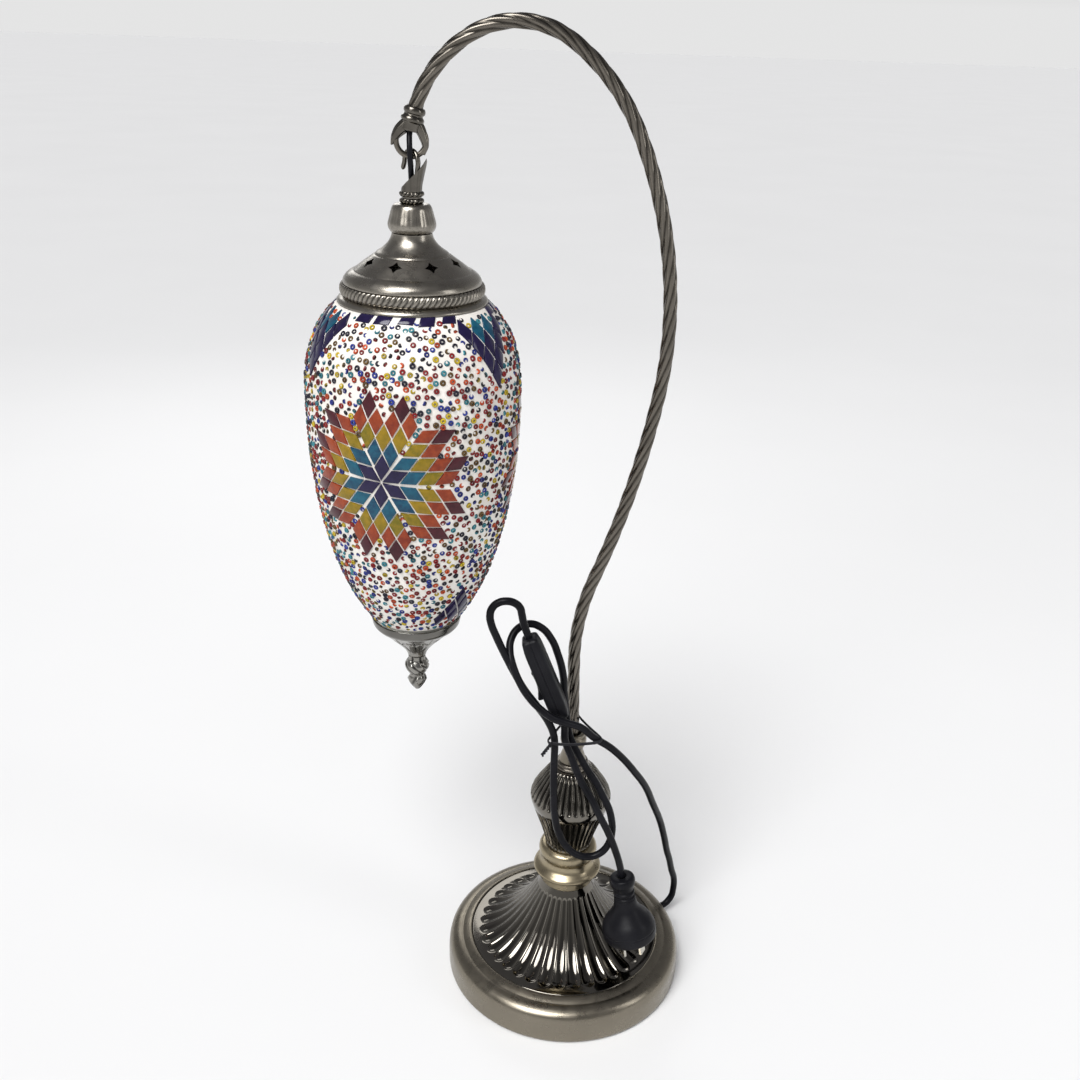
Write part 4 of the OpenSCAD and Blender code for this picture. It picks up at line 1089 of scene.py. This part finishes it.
# ------------------------------------------------------------------ beads
BEAD_KINDS = (
    ("orange", 0.13, (0.30, 0.030, 0.010), (0.60, 0.090, 0.020)),
    ("red", 0.24, (0.085, 0.006, 0.008), (0.27, 0.014, 0.016)),
    ("yellow", 0.10, (0.30, 0.22, 0.008), (0.66, 0.48, 0.03)),
    ("teal", 0.14, (0.012, 0.085, 0.115), (0.05, 0.26, 0.31)),
    ("cobalt", 0.14, (0.010, 0.012, 0.095), (0.025, 0.045, 0.30)),
    ("black", 0.15, (0.006, 0.006, 0.014), (0.016, 0.016, 0.032)),
    ("brown", 0.10, (0.055, 0.026, 0.010), (0.15, 0.085, 0.018)),
)
BEAD_SPACING = 3.3
CELL = 4.0
grid = {}
tile_grid = {}
for centre, corners, normal in tile_centres:
    key = tuple(int(c // 12) for c in centre)
    tile_grid.setdefault(key, []).append((centre, corners, normal))


def near(table, place, size):
    at = [int(c // size) for c in place]
    for dx in (-1, 0, 1):
        for dy in (-1, 0, 1):
            for dz in (-1, 0, 1):
                yield from table.get((at[0] + dx, at[1] + dy, at[2] + dz), ())


def off_the_tiles(place, clear):
    """True where a bead of that clearance touches no chip."""
    for centre, corners, normal in near(tile_grid, place, 12):
        if (centre - place).length_squared > 12 ** 2:
            continue
        worst = -1e9
        for i, corner in enumerate(corners):
            following = corners[(i + 1) % len(corners)]
            edge = (following - corner).normalized()
            outward = edge.cross(normal)
            if outward.dot(centre - corner) > 0:
                outward = -outward
            worst = max(worst, outward.dot(place - corner))
        if worst < clear:
            return False
    return True


def bead_mesh(place, normal, outer, hole, height, tilt, swing, around=11, across=6):
    """A small glass ring with rounded ends, leaning from the surface's normal."""
    side = normal.orthogonal().normalized()
    side = Matrix.Rotation(swing, 3, normal) @ side
    axis = Matrix.Rotation(tilt, 3, side) @ normal
    across_x = side
    across_y = axis.cross(across_x)
    ring_r, thick = (outer + hole) / 4, (outer - hole) / 4
    points = []
    for i in range(across):
        f = 2 * math.pi * (i + 0.5) / across
        r, z = ring_r + thick * math.cos(f), height / 2 * math.sin(f)
        for k in range(around):
            a = 2 * math.pi * k / around
            points.append(place + r * math.cos(a) * across_x + r * math.sin(a) * across_y + z * axis)
    return points


# Painted shade on each ring of a bead's points: none on the crown, dark on the flanks and in the bore
BEAD_RIM_SHADE = [dark for dark in (0.5, 0.0, 0.5, 1.0, 1.0, 1.0) for _ in range(11)]
bead_parts = {kind[0]: [] for kind in BEAD_KINDS}
kinds = [kind[0] for kind in BEAD_KINDS]
shares = [kind[1] for kind in BEAD_KINDS]
total_length = MERIDIAN_S[-1]
bead_faces = quads(6, 11, True)
TRIES = 70000
for _ in range(TRIES):
    z = float(np.interp(dice.uniform(1.0, total_length - 3.4), MERIDIAN_S, MERIDIAN))
    azimuth = dice.uniform(-180, 180)
    if dice.random() > drop_r(z) / SHADE_R:
        continue
    place, normal = surface(azimuth, z)
    key = tuple(int(c // CELL) for c in place)
    if any((other - place).length_squared < BEAD_SPACING ** 2 for other in near(grid, place, CELL)):
        continue
    if not off_the_tiles(place, 1.15):
        continue
    grid.setdefault(key, []).append(place)
    outer = dice.uniform(3.2, 3.9)
    height = dice.uniform(1.9, 2.5)
    lying = dice.random() < 0.2
    tilt = math.radians(dice.uniform(60, 90) if lying else 34 * dice.random() ** 1.3)
    reach_up = outer / 2 * math.sin(tilt) + height / 2 * math.cos(tilt) * 0.9
    sunk = reach_up + dice.uniform(-0.1, 0.1)
    points = bead_mesh(place - sunk * normal, normal, outer, 0.85, height, tilt, dice.uniform(0, 6.28))
    kind = dice.choices(kinds, shares)[0]
    bead_parts[kind].append((points, bead_faces, dice.random()))
for title, share, dark, pale in BEAD_KINDS:
    glass = stained_glass(f"bead_{title}", dark, pale, 0.10, 500, rim_shade=True)
    gathered(f"beads_{title}", bead_parts[title], glass, recess=BEAD_RIM_SHADE)
print("beads", sum(len(p) for p in bead_parts.values()), "chips", len(tile_centres))

# ------------------------------------------------------------------ switch
SWITCH_AT, SWITCH_LEAN = (-21.8, -21.0, 254.5), 22
IN_SWITCH = Matrix.Translation(SWITCH_AT) @ turn_about("Y", -SWITCH_LEAN)
SWITCH_L, SWITCH_W, SWITCH_T = 62.0, 17.0, 12.6
ROCKER_AT, ROCKER_L, ROCKER_W = -3.0, 21.0, 9.0


def switch_half(name, side, node):
    """Half of the switch's case: a long shell with rounded ends that taper to the cord."""
    rows_of, n = [], 32
    count = 48
    for i in range(count + 1):
        z = -SWITCH_L / 2 + SWITCH_L * (0.5 - 0.5 * math.cos(math.pi * i / count))
        end = max(0.0, (abs(z) - 17) / (SWITCH_L / 2 - 17))
        wide = SWITCH_W / 2 - 2.0 * end ** 2.6 - 1.0 * max(0, end - 0.92) / 0.08
        deep = SWITCH_T / 2 - 1.3 * end ** 2.6 - 0.9 * max(0, end - 0.92) / 0.08
        ring_of = []
        for k in range(n + 1):
            a = math.pi * k / n
            c, s = math.cos(a), math.sin(a)
            y = wide * math.copysign(abs(c) ** 0.38, c)
            x = deep * abs(s) ** 0.38
            ring_of.append((side * (0.12 + x * (deep - 0.12) / deep),
                            y * (1 - 0.035 * (1 - abs(s)) ** 6), z))
        rows_of.append(ring_of)
    points = [IN_SWITCH @ Vector(p) for ring_of in rows_of for p in ring_of]
    m = n + 1
    faces = quads(count + 1, m)
    faces.append(tuple(range(m)))
    faces.append(tuple(range(count * m, (count + 1) * m)))
    return piece(name, points, faces, case_plastic, "root", "black_plastic", sharp=50)


back = switch_half("switch_case_back", 1, "switch_back")
front = switch_half("switch_case_front", -1, "switch_front")
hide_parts("switch_back")
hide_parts("switch_front")
half_w, half_l = ROCKER_W / 2 + 0.45, ROCKER_L / 2 + 1.1
pocket = [(-half_l + 1, -half_w), (half_l - 1, -half_w), (half_l, -half_w + 1), (half_l, half_w - 1),
          (half_l - 1, half_w), (-half_l + 1, half_w), (-half_l, half_w - 1), (-half_l, -half_w + 1)]
lie_down = IN_SWITCH @ Matrix.Translation((0, 0, ROCKER_AT)) @ turn_about("Y", -90)
cut(front, [cutter_prism("pocket_cutter", pocket, 1.2, 9, lie_down)])


def rocker_piece():
    """The rocker: a dished key with rounded edges, drawn at its mid position, then rocked."""
    n = 40
    outline = []
    for i in range(n + 1):
        z = -ROCKER_L / 2 + ROCKER_L * i / n
        edge = min(1.0, (ROCKER_L / 2 - abs(z)) / 0.7)
        dish = 1.75 * (2 * z / ROCKER_L) ** 2
        outline.append((-6.9 - dish + 0.5 * (1 - math.sqrt(edge * (2 - edge))), z))
    points, m = [], 14
    for x, z in outline:
        grip = 0.16 * max(0.0, math.cos(z * 3.3)) ** 3 if 4 < abs(z) < 9.6 else 0
        for k in range(m + 1):
            y = -ROCKER_W / 2 + ROCKER_W * k / m
            edge = min(1.0, (ROCKER_W / 2 - abs(y)) / 0.7)
            points.append((x - grip * min(1, edge) + 0.5 * (1 - math.sqrt(edge * (2 - edge))), y, z))
        points += [(-3.4, ROCKER_W / 2, z * 0.97), (-3.4, -ROCKER_W / 2, z * 0.97)]
    w = m + 3
    faces = quads(n + 1, w) + [tuple(range(w)), tuple(range(n * w, (n + 1) * w))]
    rock = (IN_SWITCH @ Matrix.Translation((-4.2, 0, ROCKER_AT)) @ turn_about("Y", 7)
            @ Matrix.Translation((4.2, 0, 0)))
    points = [rock @ Vector(p) for p in points]
    return piece("switch_key", points, faces, case_plastic, "rocker", "black_plastic", sharp=40)


key = rocker_piece()
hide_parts("switch_rocker")

# ------------------------------------------------------------------ plug and tie
PLUG_FACE, PLUG_TILT, PLUG_TURN = (44.5, -38.0, 56.0), 11, 155
IN_PLUG = Matrix.Translation(PLUG_FACE) @ turn_about("Z", PLUG_TURN) @ turn_about("Y", PLUG_TILT)
body_outline = [
    (0.02, 0), (17.6, 0), (18.5, 0.4), (18.9, 1.6), (19, 4), (18.95, 6.2), (18.6, 6.7), (18.6, 7.2),
    (18.9, 7.6), (18.6, 9), (17.4, 12), (15.8, 14.6), (13.6, 17.2), (11.4, 20), (9.6, 22.6), (8.5, 25),
    (7.9, 28), (7.6, 31), (7, 31.3), (0.02, 31.3),
]
body = lathe("plug_bell", body_outline, case_plastic, slot="black_plastic", place=IN_PLUG, n=96,
             node="plug_body")
sleeve_outline = [
    (2.4, 31.2), (7.2, 31.2), (7.5, 31.8), (7.3, 32.6), (6.5, 33), (6.4, 33.8), (6.6, 34.6), (7.3, 34.9),
    (7.5, 35.7), (7.3, 36.6), (6.5, 37), (6.4, 37.8), (6.6, 38.6), (7.3, 39), (7.6, 40.6), (8.4, 42.6),
    (8.9, 43.8), (9, 45.6), (8.9, 47), (8.3, 48.3), (7, 48.9), (4, 49), (2.9, 48.6), (2.4, 47),
]
sleeve = lathe("plug_grip", sleeve_outline, case_plastic, slot="black_plastic", place=IN_PLUG, n=96,
               node="plug_sleeve")

grommet_place = (turn_about("Z", 30) @ Matrix.Translation((BASE_R, 0, 8)) @ turn_about("Y", 90))
grommet_outline = [
    (2.4, -4), (4.9, -4), (5.1, -3), (4.3, -2.2), (4.3, 0.15), (5.5, 0.25), (5.6, 1.2), (5.2, 2.2),
    (4, 2.9), (2.7, 3), (2.4, 2.4),
]
grommet = lathe("base_grommet", grommet_outline, case_plastic, slot="black_plastic",
                place=grommet_place, n=64, node="cord_grommet")
hole = [(4.45 * math.cos(math.radians(10 * k)), 4.45 * math.sin(math.radians(10 * k))) for k in range(36)]
cut(pan, [cutter_prism("exit_cutter", hole, -6, 6, grommet_place)])

TIE_LOOP = [
    (-15.5, -27.6, 207.4), (-9.5, -29, 207.8), (-2, -29.8, 208.4), (7, -30, 209.4), (13.5, -29.6, 210.2),
    (16.6, -27.4, 210.6), (16.2, -24, 210.6), (12.4, -16.5, 210.2), (8.2, -8, 209.6), (4.8, -0.4, 209.2),
    (3, 4, 209), (-0.6, 5.6, 208.6), (-4.6, 4, 208.2), (-8, -2, 207.6), (-11.8, -9.5, 207),
    (-16.2, -17.5, 206.6), (-18.4, -22.5, 206.6), (-18, -26, 207),
]
tie_path = smooth_path(TIE_LOOP + [(-16.6, -28.4, 207.6)], 0.8)


def flat_wire(i, angle):
    """A wire in a flat sleeve: wide along the bundle, thin across it."""
    return 0.55 / math.sqrt(math.cos(angle) ** 2 * 0.22 + math.sin(angle) ** 2)


tie_parts = [sweep(tie_path, (14, flat_wire), (0, 0, 1))]
for phase in (0, math.pi):
    tail = []
    for k in range(29):
        a = phase + 0.55 * k
        along = Vector((-16.6, -28.2, 207.4)).lerp(Vector((-22.5, -33.5, 202.0)), k / 28)
        tail.append(along + 0.75 * Vector((0.6 * math.cos(a), -0.5 * math.cos(a), math.sin(a))))
    tie_parts.append(sweep(tail, (10, lambda i, angle: 0.7), (0, 0, 1)))
tie_points, tie_faces = join(tie_parts)
tie = piece("twist_tie", tie_points, tie_faces, holder_plastic, "root", "black_plastic", sharp=60,
            node="cord_tie")

# ------------------------------------------------------------------ materials on the CAD nodes
CAD_MATERIALS = {
    "felt_pad": felt, "base_weight": iron_metal, "base_nut": zinc_metal, "base_washer": zinc_metal,
    "tie_rod": zinc_metal, "socket_screw": bronze_metal, "inner_lead": cord_plastic,
    "nipple": zinc_metal, "cap_washer": zinc_metal, "cap_nut": zinc_metal, "cap_gasket": seal_rubber,
    "holder_cap": holder_plastic, "holder_shell": holder_plastic, "bulb_base": zinc_metal,
    "bulb_glass": bulb_opal, "glass_shade": shade_glass, "cup_gasket": seal_rubber,
    "finial_bolt": zinc_metal, "bolt_washer": holder_plastic, "bolt_nut": zinc_metal,
    "switch_pin": zinc_metal, "plug_pins": pin_metal,
}
for node_name, material in CAD_MATERIALS.items():
    solid = bpy.data.objects[node_name]
    solid.data.materials.clear()
    solid.data.materials.append(material)
    solid.data.set_sharp_from_angle(angle=math.radians(35))

# ------------------------------------------------------------------ floor and light
floor_mesh = bpy.data.meshes.new("floor")
FLOOR = 30.0
floor_corners = [(-FLOOR, -FLOOR, 0), (FLOOR, -FLOOR, 0), (FLOOR, FLOOR, 0), (-FLOOR, FLOOR, 0)]
floor_mesh.from_pydata(floor_corners, [], [(0, 1, 2, 3)])
floor = bpy.data.objects.new("floor", floor_mesh)
scene.collection.objects.link(floor)
floor_mat, floor_tree, floor_shader = new_material("floor_pale")
colour_it(floor_tree, floor_shader, noise(floor_tree, 2), (0.80, 0.80, 0.80), (0.84, 0.84, 0.84))
floor_shader.inputs["Roughness"].default_value = 0.7
floor_mesh.materials.append(floor_mat)

world = bpy.data.worlds.new("studio")
scene.world = world
world.use_nodes = True
sky = world.node_tree.nodes["Background"]
ramp = add(world.node_tree, "ShaderNodeValToRGB")
height = add(world.node_tree, "ShaderNodeSeparateXYZ")
link(world.node_tree, add(world.node_tree, "ShaderNodeTexCoord").outputs["Generated"], height.inputs[0])
link(world.node_tree, height.outputs["Z"], ramp.inputs["Fac"])
ramp.color_ramp.elements[0].color = (0.78, 0.78, 0.78, 1)
ramp.color_ramp.elements[0].position = 0.02
ramp.color_ramp.elements[1].color = (0.20, 0.20, 0.21, 1)
ramp.color_ramp.elements[1].position = 0.65
middle_tone = ramp.color_ramp.elements.new(0.10)
middle_tone.color = (0.42, 0.42, 0.42, 1)
link(world.node_tree, ramp.outputs["Color"], sky.inputs["Color"])
sky.inputs["Strength"].default_value = 1.0


def softbox(name, place, target, size, power):
    data = bpy.data.lights.new(name, "AREA")
    data.shape = "RECTANGLE"
    data.size, data.size_y = size
    data.energy = power
    obj = bpy.data.objects.new(name, data)
    obj.location = place
    obj.rotation_euler = (Vector(target) - Vector(place)).to_track_quat("-Z", "Y").to_euler()
    scene.collection.objects.link(obj)


softbox("key_light", (-0.9, -1.1, 1.3), (-0.05, 0, 0.3), (0.5, 0.9), 4.5)
softbox("side_light", (1.3, -0.6, 0.9), (-0.05, 0, 0.25), (0.3, 1.0), 3.5)
softbox("back_light", (-0.4, 1.4, 1.0), (-0.05, 0, 0.3), (0.8, 0.5), 3)

sun_data = bpy.data.lights.new("soft_sun", "SUN")
sun_data.energy = 2.9
sun_data.angle = math.radians(32)
sun = bpy.data.objects.new("soft_sun", sun_data)
sun.rotation_euler = Vector((0.35, 0.62, -1.0)).to_track_quat("-Z", "Y").to_euler()
scene.collection.objects.link(sun)
